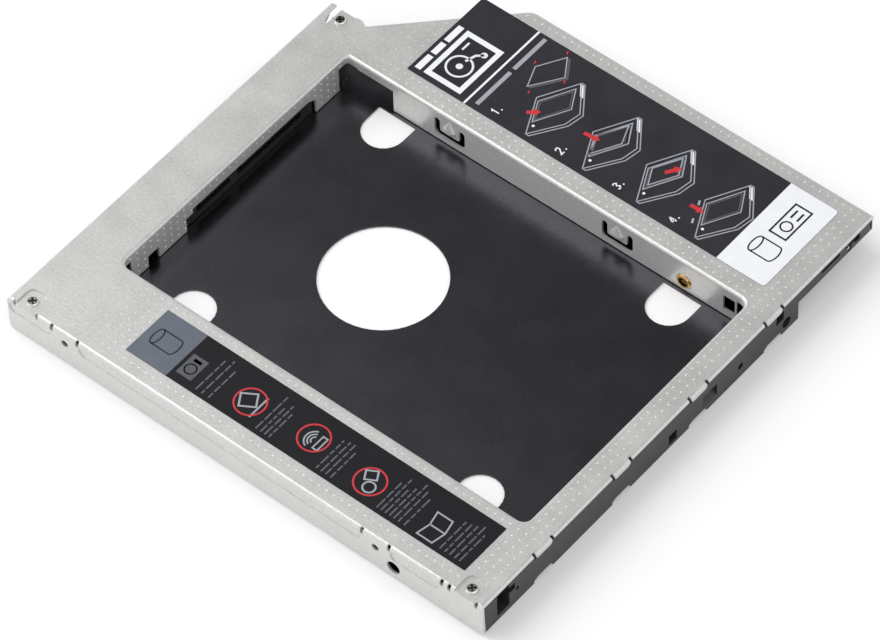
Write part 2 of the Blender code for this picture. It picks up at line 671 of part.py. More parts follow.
def wing_edge_cuts():
    """Opens the wing's side wall at its ends and below, and rounds the corner by the slanted edge."""
    wall = FRAME_WIDTH - FOLD_RADIUS
    edge = FRAME_WIDTH + PAST
    lip = FRAME_HEIGHT - LIP_DROP
    cuts = [plan_prism(rectangle(wall, -PAST, edge, FRAME_DEPTH), -PAST, WING_UNDERSIDE)]
    cuts.append(plan_prism(rectangle(wall, -PAST, edge, BAR_REAR + CLEARANCE), 0, lip))
    cuts.append(plan_prism(rectangle(wall, WING_SIDE_LENGTH - WING_WALL_INSET, edge, FRAME_DEPTH), 0, lip))
    corners = cover_outline()[0]
    cuts.append(plan_prism(corner_cut(*corners[1:4], WING_CORNER_RADIUS), 0, FRAME_HEIGHT + PAST))
    return cuts


def rear_edge_cuts():
    """Ends of the rear wall, the host connector's cut-out, and the slit that frees the screw tab."""
    lip = FRAME_HEIGHT - LIP_DROP
    wall = FRAME_DEPTH - FOLD_RADIUS
    edge = FRAME_DEPTH + PAST
    cuts = [plan_prism(rectangle(COVER_SHEET + CLEARANCE, wall, REAR_WALL_LEFT_GAP, edge), -PAST, lip)]
    cuts.append(plan_prism(rectangle(BODY_WIDTH - REAR_WALL_RIGHT_GAP, wall, FRAME_WIDTH, edge), -PAST, lip))
    left, right = HOST_CONNECTOR_LEFT - CLEARANCE, HOST_CONNECTOR_RIGHT + CLEARANCE
    top = BOARD_TOP + 2 * CLEARANCE + HOST_CONNECTOR_HEIGHT
    cuts.append(plan_prism(rectangle(left, wall, right, edge), -PAST, top))
    inner, outer = REAR_STRIP_WIDTH - TAB_SLIT_LENGTH, REAR_STRIP_WIDTH + PAST
    front = FRAME_DEPTH - TAB_SLIT_FROM_REAR
    rear = front + TAB_SLIT_WIDTH
    slit = [(inner, front), (outer, front), (outer, rear)]
    slit += [(inner + 2 * TAB_SLIT_WIDTH, rear), (inner, front + TAB_SLIT_END)]
    cuts.append(plan_prism(slit, 0, FRAME_HEIGHT + PAST))
    return cuts


def bay_flange_cuts():
    """Shapes the four walls folded down around the bay."""
    wall = COVER_SHEET + CLEARANCE
    foot = BASE_SHEET + CLEARANCE
    around = rectangle(BAY_LEFT - wall, BAY_FRONT - wall, BAY_RIGHT + wall, BAY_REAR + wall)
    cuts = [plan_prism(around, -PAST, foot)]
    for left in (BAY_LEFT - wall, BAY_RIGHT - CORNER_RELIEF):
        for front in (BAY_FRONT - wall, BAY_REAR - CORNER_RELIEF):
            corner = rectangle(left, front, left + wall + CORNER_RELIEF, front + wall + CORNER_RELIEF)
            cuts.append(plan_prism(corner, -PAST, FRAME_HEIGHT - CORNER_RELIEF_TOP_GAP))
    front_flange = rectangle(BAY_LEFT, BAY_FRONT - wall, BAY_RIGHT, BAY_FRONT + PAST)
    cuts.append(plan_prism(front_flange, -PAST, FRAME_HEIGHT - FRONT_FLANGE_DROP))
    right_rear = rectangle(BAY_RIGHT - PAST, BAY_REAR - RIGHT_WALL_REAR_GAP, BAY_RIGHT + wall, BAY_REAR)
    cuts.append(plan_prism(right_rear, -PAST, FRAME_HEIGHT - REAR_STRIP_DROP))
    return cuts


def rear_flange_cuts():
    """The drive connector's opening, stepped at the left and sloped at the right, and a small notch."""
    left, right = PLUG_MIDDLE - FLANGE_CUT_WIDTH / 2, PLUG_MIDDLE + FLANGE_CUT_WIDTH / 2
    front, rear = BAY_REAR - PAST, BAY_REAR + COVER_SHEET + CLEARANCE
    outline = [(left, -PAST), (right, -PAST), (right, FLANGE_SHOULDER_HEIGHT)]
    outline += [(right - FLANGE_SHOULDER, FLANGE_STRIP_BOTTOM), (left + FLANGE_SHOULDER, FLANGE_STRIP_BOTTOM)]
    outline += [(left + FLANGE_SHOULDER, FLANGE_SHOULDER_HEIGHT), (left, FLANGE_SHOULDER_HEIGHT)]
    notch_left = BAY_LEFT + FLANGE_NOTCH_FROM_BAY_LEFT
    notch = rectangle(notch_left, -PAST, notch_left + FLANGE_NOTCH_WIDTH, FLANGE_NOTCH_TOP)
    return [front_prism(outline, front, rear), front_prism(notch, front, rear)]


def tongue_slot(middle):
    """Side view of the U-shaped slot, round at both upper ends, that leaves a tongue hanging between its arms."""
    inner_left, inner_right = middle - TONGUE_WIDTH / 2, middle + TONGUE_WIDTH / 2
    end = TONGUE_SLOT / 2
    end_level = TONGUE_TOP - end
    corner_level = TONGUE_BOTTOM + TONGUE_SLOT
    tip_level = TONGUE_BOTTOM + TONGUE_TIP_GAP + TONGUE_TIP_RADIUS
    outline = arc((inner_left - end, end_level), end, 0, 180, 6)
    outline += arc((inner_left, corner_level), TONGUE_SLOT, 180, 270, 5)
    outline += arc((inner_right, corner_level), TONGUE_SLOT, 270, 360, 5)
    outline += arc((inner_right + end, end_level), end, 0, 180, 6)
    outline += arc((inner_right - TONGUE_TIP_RADIUS, tip_level), TONGUE_TIP_RADIUS, 0, -90, 3)
    return outline + arc((inner_left + TONGUE_TIP_RADIUS, tip_level), TONGUE_TIP_RADIUS, -90, -180, 3)


def right_wall_cuts():
    """Window, bush hole and the slot around each spring tongue."""
    left, right = BAY_RIGHT - PAST, BAY_RIGHT + COVER_SHEET + CLEARANCE
    front = BAY_FRONT + WINDOW_FROM_BAY_FRONT
    window = rectangle(front, WINDOW_BOTTOM, front + WINDOW_WIDTH, WINDOW_BOTTOM + WINDOW_HEIGHT)
    cuts = [side_prism(window, left, right)]
    bush_hole = circle((FRONT_HOLES, SIDE_HOLE_LEVEL), BUSH_BARREL / 2 + CLEARANCE)
    cuts.append(side_prism(bush_hole, left, right))
    return cuts + [side_prism(tongue_slot(middle), left, right) for middle in TONGUE_PLACES]


def tongue_bump(middle, face, back, width):
    """A teardrop pressed out of a tongue towards the bay, narrow at its top: half an ellipse at each height."""
    top = FRAME_HEIGHT - BUMP_TOP_GAP
    length = top - (TONGUE_BOTTOM + TONGUE_TIP_GAP + BUMP_TIP_GAP)
    rings = []
    for index in range(BUMP_STEPS + 1):
        along_bump = index / BUMP_STEPS
        if along_bump < BUMP_CREST:
            share = along_bump / BUMP_CREST
        else:
            share = math.sqrt(1 - ((along_bump - BUMP_CREST) / (1 - BUMP_CREST)) ** 2)
        share = max(share, BUMP_END)
        half = share * width / 2
        level = top - along_bump * length
        bow = arc((0, 0), 1, 0, 180, 8)
        outline = [(face - share * BUMP_RISE * rise, middle + half * side) for side, rise in bow]
        outline += [(back, middle - half), (back, middle + half)]
        rings.append(plan_ring(outline, level))
    return loft(rings)


def make_cover(material):
    outer = folded_rings(WALL_BOTTOM, FRAME_HEIGHT, FOLD_RADIUS, 0.0, 0.0)
    cover = place("top_cover", loft(outer), material)
    void = cover_void()
    under = cover.modifiers.new("under_side", "BOOLEAN")
    under.operation = "DIFFERENCE"
    under.object = void
    under.solver = "EXACT"
    cuts = [loft(bay_rings(-PAST, FRAME_HEIGHT, FOLD_RADIUS, 0.0, FRAME_HEIGHT + PAST))]
    cut(cover, cuts)
    cuts = [front_edge_cut()] + tab_notches() + wing_edge_cuts() + rear_edge_cuts()
    for screw, side in cover_dishes():
        floor = FRAME_HEIGHT - DISH_DEPTH
        cuts.append(plan_prism(dish_outline(screw, side), floor, FRAME_HEIGHT + PAST))
        hole = circle(screw, SCREW_SHANK / 2 + CLEARANCE, 16)
        cuts.append(plan_prism(hole, floor - 2 * PAST, FRAME_HEIGHT))
    cut(cover, cuts)
    cut(cover, side_wall_cuts() + fold_slots())
    cut(cover, bay_flange_cuts() + rear_flange_cuts() + right_wall_cuts())
    face, back = BAY_RIGHT, BAY_RIGHT + COVER_SHEET
    add(cover, [tongue_bump(middle, face, (face + back) / 2, BUMP_WIDTH) for middle in TONGUE_PLACES])
    hollow = BUMP_WIDTH - COVER_SHEET
    cut(cover, [tongue_bump(middle, back, back + CLEARANCE, hollow) for middle in TONGUE_PLACES])
    return cover


# Base


def base_section():
    """Front view of the base sheet: floor, step up at the body's right side, then the wing's underside."""
    left = COVER_SHEET + CLEARANCE
    right = FRAME_WIDTH - COVER_SHEET - CLEARANCE
    step = BODY_WIDTH - CLEARANCE / 2
    inner = STEP_RADIUS - BASE_SHEET
    lower = (step - STEP_RADIUS, STEP_RADIUS)
    upper = (step + inner, WING_UNDERSIDE - inner)
    under = [(left, 0)] + arc(lower, STEP_RADIUS, -90, 0, 4) + arc(upper, inner, 180, 90, 4)
    under.append((right, WING_UNDERSIDE))
    over = [(right, WING_UNDERSIDE + BASE_SHEET)] + arc(upper, STEP_RADIUS, 90, 180, 4)
    over += arc(lower, inner, 0, -90, 4)
    over.append((left, BASE_SHEET))
    return under + over


def base_trim():
    """Plan of what the base gives up beyond the slanted edge and the body's rear right side."""
    wing_corner, slant_end = (Vector(point) for point in cover_outline()[0][2:4])
    way = (slant_end - wing_corner).normalized()
    inward = 2 * CLEARANCE * Vector((-way.y, way.x))
    start = wing_corner + inward - way * PAST * 4
    reach = (BODY_WIDTH - start.x) / way.x
    end = start + way * reach
    far, rear = FRAME_WIDTH + 4 * PAST, FRAME_DEPTH + PAST
    return [tuple(end), tuple(start), (far, start.y), (far, rear), (BODY_WIDTH, rear)]


def screw_opening(middle_u, middle_v, side):
    """A floor opening round at its inner end and running square out to the bay's side wall."""
    radius = SCREW_OPENING / 2
    limit = BAY_RIGHT - SCREW_OPENING_MARGIN if side > 0 else BAY_LEFT + SCREW_OPENING_MARGIN
    start = 90 if side > 0 else -90
    inner_end = arc((middle_u, middle_v), radius, start, start + 180, 12)
    return inner_end + [(limit, middle_v - side * radius), (limit, middle_v + side * radius)]


def raised_seats():
    """Places and heights of the round seats pressed up into the base."""
    seats = [((middle, BAR_SCREW_FROM_FRONT), BAR_SEAT_HEIGHT) for middle in BAR_SCREWS]
    return seats + [((middle, BOARD_SCREW_ROW), BOARD_SEAT_HEIGHT) for middle in BOARD_SCREWS]


def make_base(material):
    rear = FRAME_DEPTH - COVER_SHEET - CLEARANCE
    base = place("base_plate", front_prism(base_section(), BASE_FRONT, rear), material)
    seats = raised_seats()
    radius = SEAT_DIAMETER / 2
    add(base, [plan_prism(circle(spot, radius), BASE_SHEET / 2, BASE_SHEET + rise) for spot, rise in seats])
    cuts = [plan_prism(circle(spot, radius - BASE_SHEET), -PAST, rise) for spot, rise in seats]
    cuts += [plan_prism(circle(spot, BOARD_HOLE / 2, 16), -PAST, 2 * PAST) for spot, rise in seats]
    cuts.append(plan_prism(base_trim(), -PAST, FRAME_HEIGHT))
    floor_hole = circle((DRIVE_MIDDLE, BAY_REAR - FLOOR_HOLE_FROM_BAY_REAR), FLOOR_HOLE / 2, 48)
    cuts.append(plan_prism(floor_hole, -PAST, PAST))
    for side in (-1, 1):
        middle = DRIVE_MIDDLE + side * (DRIVE_WIDTH / 2 - DRIVE_HOLES_FROM_SIDE)
        for row in (FRONT_HOLES, REAR_HOLES):
            opening = screw_opening(middle, row - SCREW_OPENING_LEAD, side)
            cuts.append(plan_prism(opening, -PAST, PAST))
    cut(base, cuts)
    return base


# Front bar


def bar_outline():
    left = SIDE_RETURN + CLEARANCE
    right = FRAME_WIDTH - CLEARANCE
    body = [(left, 0), (BODY_WIDTH, 0), (BODY_WIDTH, WING_UNDERSIDE)]
    return body + [(right, WING_UNDERSIDE), (right, BAR_TOP), (left, BAR_TOP)]


def bar_base_relief():
    """Room under and beside the bar for the base sheet, behind the bar's face."""
    floor = BASE_SHEET + CLEARANCE
    wing = WING_UNDERSIDE + BASE_SHEET + CLEARANCE
    step = BODY_WIDTH - BASE_SHEET - 1.5 * CLEARANCE
    edge = FRAME_WIDTH + PAST
    outline = [(-PAST, -PAST), (edge, -PAST), (edge, wing), (step, wing), (step, floor), (-PAST, floor)]
    return front_prism(outline, BASE_FRONT - CLEARANCE, BAR_REAR + BAR_BOSS_LENGTH + PAST)


def bar_tab_cuts():
    """A pocket for each crimp tab in the upper edge, and the notch below it in the lower edge."""
    cuts = []
    pocket_rear = COVER_SHEET + CLEARANCE
    pocket_floor = FRAME_HEIGHT - TAB_DROP - CLEARANCE
    for middle in TAB_PLACES:
        half = TAB_WIDTH / 2 + CLEARANCE
        pocket = rectangle(middle - half, pocket_floor, middle + half, FRAME_HEIGHT)
        cuts.append(front_prism(pocket, -PAST, pocket_rear))
        half = BAR_NOTCH_WIDTH / 2
        notch = [(middle - half, -PAST), (middle + half, -PAST), (middle + half, 0)]
        notch.append((middle + half - BAR_NOTCH_RIGHT_RUN, BAR_NOTCH_HEIGHT))
        notch.append((middle - half + BAR_NOTCH_LEFT_RUN, BAR_NOTCH_HEIGHT))
        notch.append((middle - half, BAR_NOTCH_LEFT_RISE))
        cuts.append(front_prism(notch, -PAST, BASE_FRONT))
    lip = rectangle(-PAST, COVER_UNDERSIDE - 1.5 * CLEARANCE, FRAME_WIDTH + PAST, FRAME_HEIGHT)
    cuts.append(front_prism(lip, -PAST, FOLD_RADIUS + CLEARANCE))
    return cuts


def bar_face_pockets():
    """Clip pockets and round holes in the bar's face."""
    pockets = list(BAR_POCKETS_FROM_LEFT)
    for gap, bottom, width, height, depth in BAR_POCKETS_FROM_STEP:
        pockets.append((BODY_WIDTH - gap - width, bottom, width, height, depth))
    for gap, rise, width, height, depth in BAR_POCKETS_FROM_WING:
        pockets.append((FRAME_WIDTH - gap - width, WING_UNDERSIDE + rise, width, height, depth))
    cuts = []
    for left, bottom, width, height, depth in pockets:
        outline = rounded_rectangle(left, bottom, left + width, bottom + height, BAR_POCKET_RADIUS, 2)
        cuts.append(front_prism(outline, -PAST, BAR_FACE + depth))
    holes = list(BAR_HOLES_FROM_LEFT)
    holes += [(BODY_WIDTH - gap, level, size) for gap, level, size in BAR_HOLES_FROM_STEP]
    for middle, level, diameter in holes:
        outline = circle((middle, level), diameter / 2, 20)
        cuts.append(front_prism(outline, -PAST, BAR_FACE + BAR_HOLE_DEPTH))
    return cuts


def bar_ramp_pocket():
    """The wide clip pocket, deep along its top and ramped up to the face at its lower edge."""
    right = BODY_WIDTH - RAMP_FROM_STEP
    top, floor = RAMP_BOTTOM + RAMP_HEIGHT, BAR_FACE + RAMP_DEPTH
    section = [(-PAST, RAMP_BOTTOM), (BAR_FACE, RAMP_BOTTOM), (floor, top - RAMP_ROOF_DROP), (floor, top)]
    return side_prism(section + [(-PAST, top)], right - RAMP_WIDTH, right)


def bar_sight_hole():
    """The round sight hole in the wing part, with the shaft behind it that opens downwards."""
    middle, level = FRAME_WIDTH - SIGHT_HOLE_FROM_RIGHT, WING_UNDERSIDE + SIGHT_HOLE_RISE
    radius = SIGHT_HOLE / 2
    hole = front_prism(circle((middle, level), radius, 16), -PAST, BAR_FACE + SIGHT_HOLE_DEPTH)
    half = radius + CLEARANCE
    shaft = rectangle(middle - half, BAR_FACE + SIGHT_SHAFT_SKIN, middle + half, BASE_FRONT + PAST)
    return [hole, plan_prism(shaft, 0, level + radius)]


def bar_rear_cores():
    """Pockets between ribs in the bar's back, as a moulding has, clear of its screws."""
    cuts = []
    left = SIDE_RETURN + CLEARANCE + BAR_BOSS_WIDTH + BAR_RIB_WIDTH
    count = int((BODY_WIDTH - BAR_RIB_SPACING - left) / BAR_RIB_SPACING)
    for index in range(count):
        start = left + index * BAR_RIB_SPACING
        end = start + BAR_RIB_SPACING - BAR_RIB_WIDTH
        core = rectangle(start, BAR_CORE_BOTTOM, end, BAR_TOP - BAR_CORE_TOP_GAP)
        cuts.append(front_prism(core, BAR_REAR - BAR_CORE_DEPTH, BAR_REAR + PAST))
    return cuts


def make_front_bar(material):
    bar = place("front_bar", front_prism(bar_outline(), BAR_FACE, BAR_REAR), material)
    left = SIDE_RETURN + CLEARANCE
    dish_floor = COVER_UNDERSIDE - DISH_DEPTH - CLEARANCE
    boss = rectangle(left, BAR_REAR - PAST, left + BAR_BOSS_WIDTH, BAR_REAR + BAR_BOSS_LENGTH)
    add(bar, [plan_prism(boss, BASE_SHEET + CLEARANCE, dish_floor)])
    cuts = [bar_base_relief(), bar_ramp_pocket()] + bar_tab_cuts() + bar_face_pockets() + bar_sight_hole()
    cut(bar, cuts)
    dish = dish_outline(FRONT_SCREW, -1, COVER_SHEET + CLEARANCE)
    cuts = [plan_prism(dish, dish_floor, FRAME_HEIGHT)]
    pilot = circle(FRONT_SCREW, SCREW_SHANK / 2 + CLEARANCE, 16)
    pilot_floor = FRAME_HEIGHT - DISH_DEPTH - COVER_SCREW_LENGTH - 2 * CLEARANCE
    cuts.append(plan_prism(pilot, pilot_floor, FRAME_HEIGHT))
    for middle in BAR_SCREWS:
        spot = (middle, BAR_SCREW_FROM_FRONT)
        seat_top = BASE_SHEET + BAR_SEAT_HEIGHT
        cuts.append(plan_prism(circle(spot, SEAT_DIAMETER / 2 + CLEARANCE), -PAST, seat_top + CLEARANCE))
        top = seat_top + BAR_SCREW_LENGTH
        cuts.append(plan_prism(circle(spot, SCREW_SHANK / 2 + CLEARANCE, 16), 0, top))
    cut(bar, cuts)
    cut(bar, bar_rear_cores())
    return bar


# Screws, posts and bush


def screw_mesh(length):
    """Pan head with its underside at height 0 and its shank below."""
    head, shank = SCREW_HEAD / 2, SCREW_SHANK / 2
    profile = [(0, -length), (shank - SCREW_POINT, -length), (shank, SCREW_POINT - length), (shank, 0)]
    profile += [(head, 0), (head, SCREW_HEAD_RIM), (head - SCREW_HEAD_CHAMFER, SCREW_HEAD_HEIGHT)]
    profile.append((0, SCREW_HEAD_HEIGHT))
    return turned(profile, 20)


def screw_slots():
    """Two crossed bars that cut the head's drive recess."""
    half_length, half_width = SCREW_SLOT_LENGTH / 2, SCREW_SLOT_WIDTH / 2
    floor = SCREW_HEAD_HEIGHT - SCREW_SLOT_DEPTH
    arm = [(half_width, half_width), (half_length, half_width), (half_length, -half_width)]
    cross = []
    for quarter in range(4):
        cosine, sine = math.cos(math.pi / 2 * quarter), math.sin(math.pi / 2 * quarter)
        cross += [(u * cosine + v * sine, v * cosine - u * sine) for u, v in arm]
    rings = [[(u, v, height) for u, v in cross] for height in (floor, SCREW_HEAD_HEIGHT + PAST)]
    return loft(rings)


def make_screw(name, spot, seat, length, material, upside_down=False):
    screw = place(name, screw_mesh(length), material)
    smooth_rounds(screw)
    cut(screw, [screw_slots()])
    turn = 180 if upside_down else 0
    screw.location = (across(spot[0]), along(spot[1]), seat)
    screw.rotation_euler = (math.radians(turn), 0, math.radians(45))
    for cutter in bpy.data.collections[f"{name}_cuts_0"].objects:
        cutter.location = screw.location
        cutter.rotation_euler = screw.rotation_euler
    return screw


def make_post(name, spot, material):
    """A threaded post with chamfered ends, standing on the base under a dish."""
    floor = BASE_SHEET
    top = COVER_UNDERSIDE - DISH_DEPTH - CLEARANCE
    body, bore, chamfer = POST_DIAMETER / 2, SCREW_SHANK / 2 + CLEARANCE, POST_CHAMFER
    profile = [(bore, floor), (body - chamfer, floor), (body, floor + chamfer), (body, top - chamfer)]
    profile += [(body - chamfer, top), (bore, top)]
    post = place(name, turned(profile), material, (across(spot[0]), along(spot[1]), 0))
    smooth_rounds(post)
    return post


def make_bush(material):
    """Brass bush through the right bay wall, its head on the bay side."""
    head, barrel, bore = BUSH_HEAD / 2, BUSH_BARREL / 2, BUSH_BORE / 2
    rim = BUSH_HEAD_CHAMFER - BUSH_HEAD_HEIGHT
    profile = [(bore, -BUSH_HEAD_HEIGHT), (head - BUSH_HEAD_CHAMFER, -BUSH_HEAD_HEIGHT), (head, rim)]
    profile += [(head, 0), (barrel, 0), (barrel, BUSH_LENGTH), (bore, BUSH_LENGTH)]
    at = (across(BAY_RIGHT), along(FRONT_HOLES), SIDE_HOLE_LEVEL)
    bush = place("threaded_bush", turned(profile), material, at)
    bush.rotation_euler = (0, math.radians(90), 0)
    smooth_rounds(bush)
    return bush


# Connector board


def make_board(material):
    outline = rectangle(BOARD_LEFT, BOARD_FRONT, BOARD_RIGHT, BOARD_REAR)
    board = place("circuit_board", plan_prism(outline, BOARD_FLOOR, BOARD_TOP), material)
    holes = [circle((middle, BOARD_SCREW_ROW), BOARD_HOLE / 2, 16) for middle in BOARD_SCREWS]
    cut(board, [plan_prism(hole, 0, BOARD_TOP + PAST) for hole in holes])
    return board


def make_film(material):
    """Insulating film on the base under the board, between the two board seats."""
    seat = SEAT_DIAMETER / 2 + CLEARANCE
    outline = rectangle(BOARD_SCREWS[0] + seat, CONNECTOR_FRONT, BOARD_SCREWS[1] - seat, BOARD_REAR)
    return place("insulating_film", plan_prism(outline, BASE_SHEET, BASE_SHEET + FILM_THICKNESS), material)


def make_drive_connector(material):
    """The socket that the drive's plug enters: a signal slot, a power slot and their key notches."""
    bottom = BASE_SHEET + CLEARANCE
    top = bottom + DRIVE_CONNECTOR_HEIGHT
    left, right = PLUG_MIDDLE - DRIVE_CONNECTOR_WIDTH / 2, PLUG_MIDDLE + DRIVE_CONNECTOR_WIDTH / 2
    section = [(CONNECTOR_FRONT, bottom), (CONNECTOR_REAR, bottom), (CONNECTOR_REAR, top)]
    section.append((CONNECTOR_FRONT + DRIVE_CONNECTOR_CHAMFER, top))
    section.append((CONNECTOR_FRONT, top - DRIVE_CONNECTOR_CHAMFER))
    socket = place("drive_connector", side_prism(section, left, right), material)
    low = bottom + DRIVE_SLOT_BOTTOM
    high = low + DRIVE_SLOT_HEIGHT
    key_width, key_rise = DRIVE_SLOT_KEY
    cuts = []
    for start, width in DRIVE_SLOTS:
        start += PLUG_MIDDLE
        slot = rectangle(start, low, start + width, high)
        notch = rectangle(start, (low + high) / 2, start + key_width, high + key_rise)
        for shape in (slot, notch):
            cuts.append(front_prism(shape, CONNECTOR_FRONT - PAST, CONNECTOR_FRONT + DRIVE_SLOT_DEPTH))
    cut(socket, cuts)
    return socket


def make_host_connector(material):
    """The plug on the rear edge: a shroud with a signal tongue and a power tongue standing in it."""
    bottom = BOARD_TOP + CLEARANCE
    top = bottom + HOST_CONNECTOR_HEIGHT
    front, rear = CONNECTOR_REAR + HOST_CONNECTOR_GAP, FRAME_DEPTH
    left, right = HOST_CONNECTOR_LEFT, HOST_CONNECTOR_RIGHT
    plug = place("host_connector", front_prism(rectangle(left, bottom, right, top), front, rear), material)
    back = front + HOST_BACK
    side = 2 * HOST_SHROUD
    cavity = rectangle(left + side, bottom + HOST_SHROUD, right - side, top - HOST_SHROUD)
    cut(plug, [front_prism(cavity, back, rear + PAST)])
    low = bottom + HOST_TONGUE_RISE
    high = low + HOST_TONGUE
    key_width, key_rise = HOST_TONGUE_KEY
    tongues = []
    for start, width in HOST_TONGUES:
        start += left
        body = rectangle(start, low, start + width, high)
        upright = rectangle(start, (low + high) / 2, start + key_width, high + key_rise)
        for shape in (body, upright):
            tongues.append(front_prism(shape, back - HOST_BACK / 2, rear - HOST_SHROUD))
    add(plug, tongues)
    return plug


def make_capacitors(material):
    """A row of capacitors, evenly spaced between the left board screw and the host connector."""
    row = (BOARD_FRONT + BOARD_REAR) / 2
    start = BOARD_SCREWS[0] + SCREW_HEAD / 2 + CLEARANCE
    pitch = (HOST_CONNECTOR_LEFT - CLEARANCE - start) / len(CAPACITORS)
    for index, (length, width, height) in enumerate(CAPACITORS):
        middle = start + (index + 0.5) * pitch
        outline = rectangle(middle - width / 2, row - length / 2, middle + width / 2, row + length / 2)
        place(f"capacitor_{index + 1}", plan_prism(outline, BOARD_TOP, BOARD_TOP + height), material)


# Labels


def make_side_label(material):
    right, rear = BAY_LEFT - SIDE_LABEL_FROM_BAY, FRAME_DEPTH - SIDE_LABEL_FROM_REAR
    corners = (SIDE_LABEL_FROM_LEFT, SIDE_LABEL_FROM_FRONT, right, rear)
    outline = rounded_rectangle(*corners, LABEL_CORNER_RADIUS, 3)
    return place("side_label", plan_prism(outline, FRAME_HEIGHT, FRAME_HEIGHT + LABEL_THICKNESS), material)


def make_wing_label(material):
    """A long label whose narrower head sweeps into the full width on a hollow curve."""
    left, front = BAY_RIGHT + WING_LABEL_FROM_BAY, WING_LABEL_FROM_FRONT
    right, shoulder = FRAME_WIDTH - WING_LABEL_FROM_RIGHT, WING_SIDE_LENGTH - WING_LABEL_FROM_SLANT
    head_right, head_rear = left + WING_LABEL_HEAD_WIDTH, shoulder + WING_LABEL_HEAD_LENGTH
    centre = (head_right + WING_LABEL_SWEEP, shoulder + WING_LABEL_SWEEP)
    outline = [(left, front), (right, front), (right, shoulder)]
    outline += arc(centre, WING_LABEL_SWEEP, 270, 180, 8) + [(head_right, head_rear), (left, head_rear)]
    return place("wing_label", plan_prism(outline, FRAME_HEIGHT, FRAME_HEIGHT + LABEL_THICKNESS), material)


def build():
    clear_scene()
    steel = screw_steel()
    make_cover(plated_steel())
    make_base(black_coating())
    make_front_bar(black_moulding())
    dish_floor = FRAME_HEIGHT - DISH_DEPTH
    make_screw("cover_screw_front_left", FRONT_SCREW, dish_floor, COVER_SCREW_LENGTH, steel)
    make_screw("cover_screw_rear_left", REAR_SCREW, dish_floor, COVER_SCREW_LENGTH, steel)
    make_screw("cover_screw_rear_right", TAB_SCREW, dish_floor, COVER_SCREW_LENGTH, steel)
    make_post("post_rear_left", REAR_SCREW, steel)
    make_post("post_rear_right", TAB_SCREW, steel)
    make_bush(turned_brass())
    make_board(board_laminate())
    make_film(film_plastic())
    socket_plastic = finish_material("connector_plastic", (0.02, 0.02, 0.02), 0.45, 0.0)
    make_drive_connector(socket_plastic)
    make_host_connector(socket_plastic)
    make_capacitors(ceramic())
    for side, middle in zip(("left", "right"), BOARD_SCREWS):
        spot = (middle, BOARD_SCREW_ROW)
        make_screw(f"board_screw_{side}", spot, BOARD_TOP, BOARD_SCREW_LENGTH, steel)
    for side, middle in zip(("left", "right"), BAR_SCREWS):
        spot = (middle, BAR_SCREW_FROM_FRONT)
        make_screw(f"bar_screw_{side}", spot, BAR_SEAT_HEIGHT, BAR_SCREW_LENGTH, steel, upside_down=True)
    make_side_label(label_film("side_label_film", (0.03, 0.03, 0.035)))
    make_wing_label(label_film("wing_label_film", (0.04, 0.04, 0.05)))


build()
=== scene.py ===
# Looks of a drive mounting frame: plated cover, black base and front bar, labels, connectors and screws.
# Places are in millimetres from the front left corner of the part, heights from its underside.
import math

import bmesh
import bpy
import numpy as np
from mathutils import Matrix, Vector
from mathutils.bvhtree import BVHTree


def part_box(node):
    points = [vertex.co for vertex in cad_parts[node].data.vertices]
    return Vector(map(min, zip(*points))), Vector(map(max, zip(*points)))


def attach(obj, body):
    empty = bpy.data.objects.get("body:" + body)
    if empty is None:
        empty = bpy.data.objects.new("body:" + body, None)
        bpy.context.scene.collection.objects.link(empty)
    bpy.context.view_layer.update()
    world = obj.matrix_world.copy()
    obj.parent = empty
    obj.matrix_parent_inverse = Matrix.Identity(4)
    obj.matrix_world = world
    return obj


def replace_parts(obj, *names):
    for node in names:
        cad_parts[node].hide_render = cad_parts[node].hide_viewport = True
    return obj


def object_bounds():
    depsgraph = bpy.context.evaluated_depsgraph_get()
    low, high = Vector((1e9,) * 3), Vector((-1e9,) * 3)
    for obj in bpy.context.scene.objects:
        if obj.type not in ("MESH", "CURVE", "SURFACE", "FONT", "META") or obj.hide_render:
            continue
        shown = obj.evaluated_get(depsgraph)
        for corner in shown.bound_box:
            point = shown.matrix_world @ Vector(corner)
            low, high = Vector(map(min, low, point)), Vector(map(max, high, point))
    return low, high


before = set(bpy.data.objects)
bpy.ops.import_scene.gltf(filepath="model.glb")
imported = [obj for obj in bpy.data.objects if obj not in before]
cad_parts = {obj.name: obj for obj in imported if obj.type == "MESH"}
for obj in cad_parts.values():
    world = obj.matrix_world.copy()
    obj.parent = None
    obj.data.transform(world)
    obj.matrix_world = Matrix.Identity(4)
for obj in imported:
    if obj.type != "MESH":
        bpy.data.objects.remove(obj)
cadLow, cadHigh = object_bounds()
mm = 0.001
corner = np.array([cadLow.x, cadLow.y, 0.0])
print("frame loaded:", len(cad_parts), "nodes")


def linearColour(hexText):  # sRGB hex text to a linear colour
    channels = np.array([int(hexText[index:index + 2], 16) for index in (0, 2, 4)]) / 255
    linear = np.where(channels <= 0.04045, channels / 12.92, ((channels + 0.055) / 1.055) ** 2.4)
    return (*linear.tolist(), 1.0)


def addNode(tree, kind, inputs=None, **settings):  # a node with its settings, its inputs as values or links
    node = tree.nodes.new(kind)
    for name, value in settings.items():
        setattr(node, name, value)
    for socket, value in (inputs or {}).items():
        if isinstance(value, bpy.types.NodeSocket):
            tree.links.new(value, node.inputs[socket])
        else:
            node.inputs[socket].default_value = value
    return node


def boxOf(node):  # lowest and highest corner of a node, in millimetres from the front left corner
    return [(np.array(point) - corner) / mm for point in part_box(node)]


# camera and studio
cameraSettings = {
    "place": (-0.5964, -0.51895, 0.9810),  # metres
    "right": (0.6362, -0.7712, -0.0219),  # towards the picture's right side
    "back": (-0.4695, -0.4095, 0.7822),  # from the part towards the camera
    "lens": 248.93,  # millimetres, as the sensor's width
    "sensor": 36.0,
    "nearest": 0.01,
}


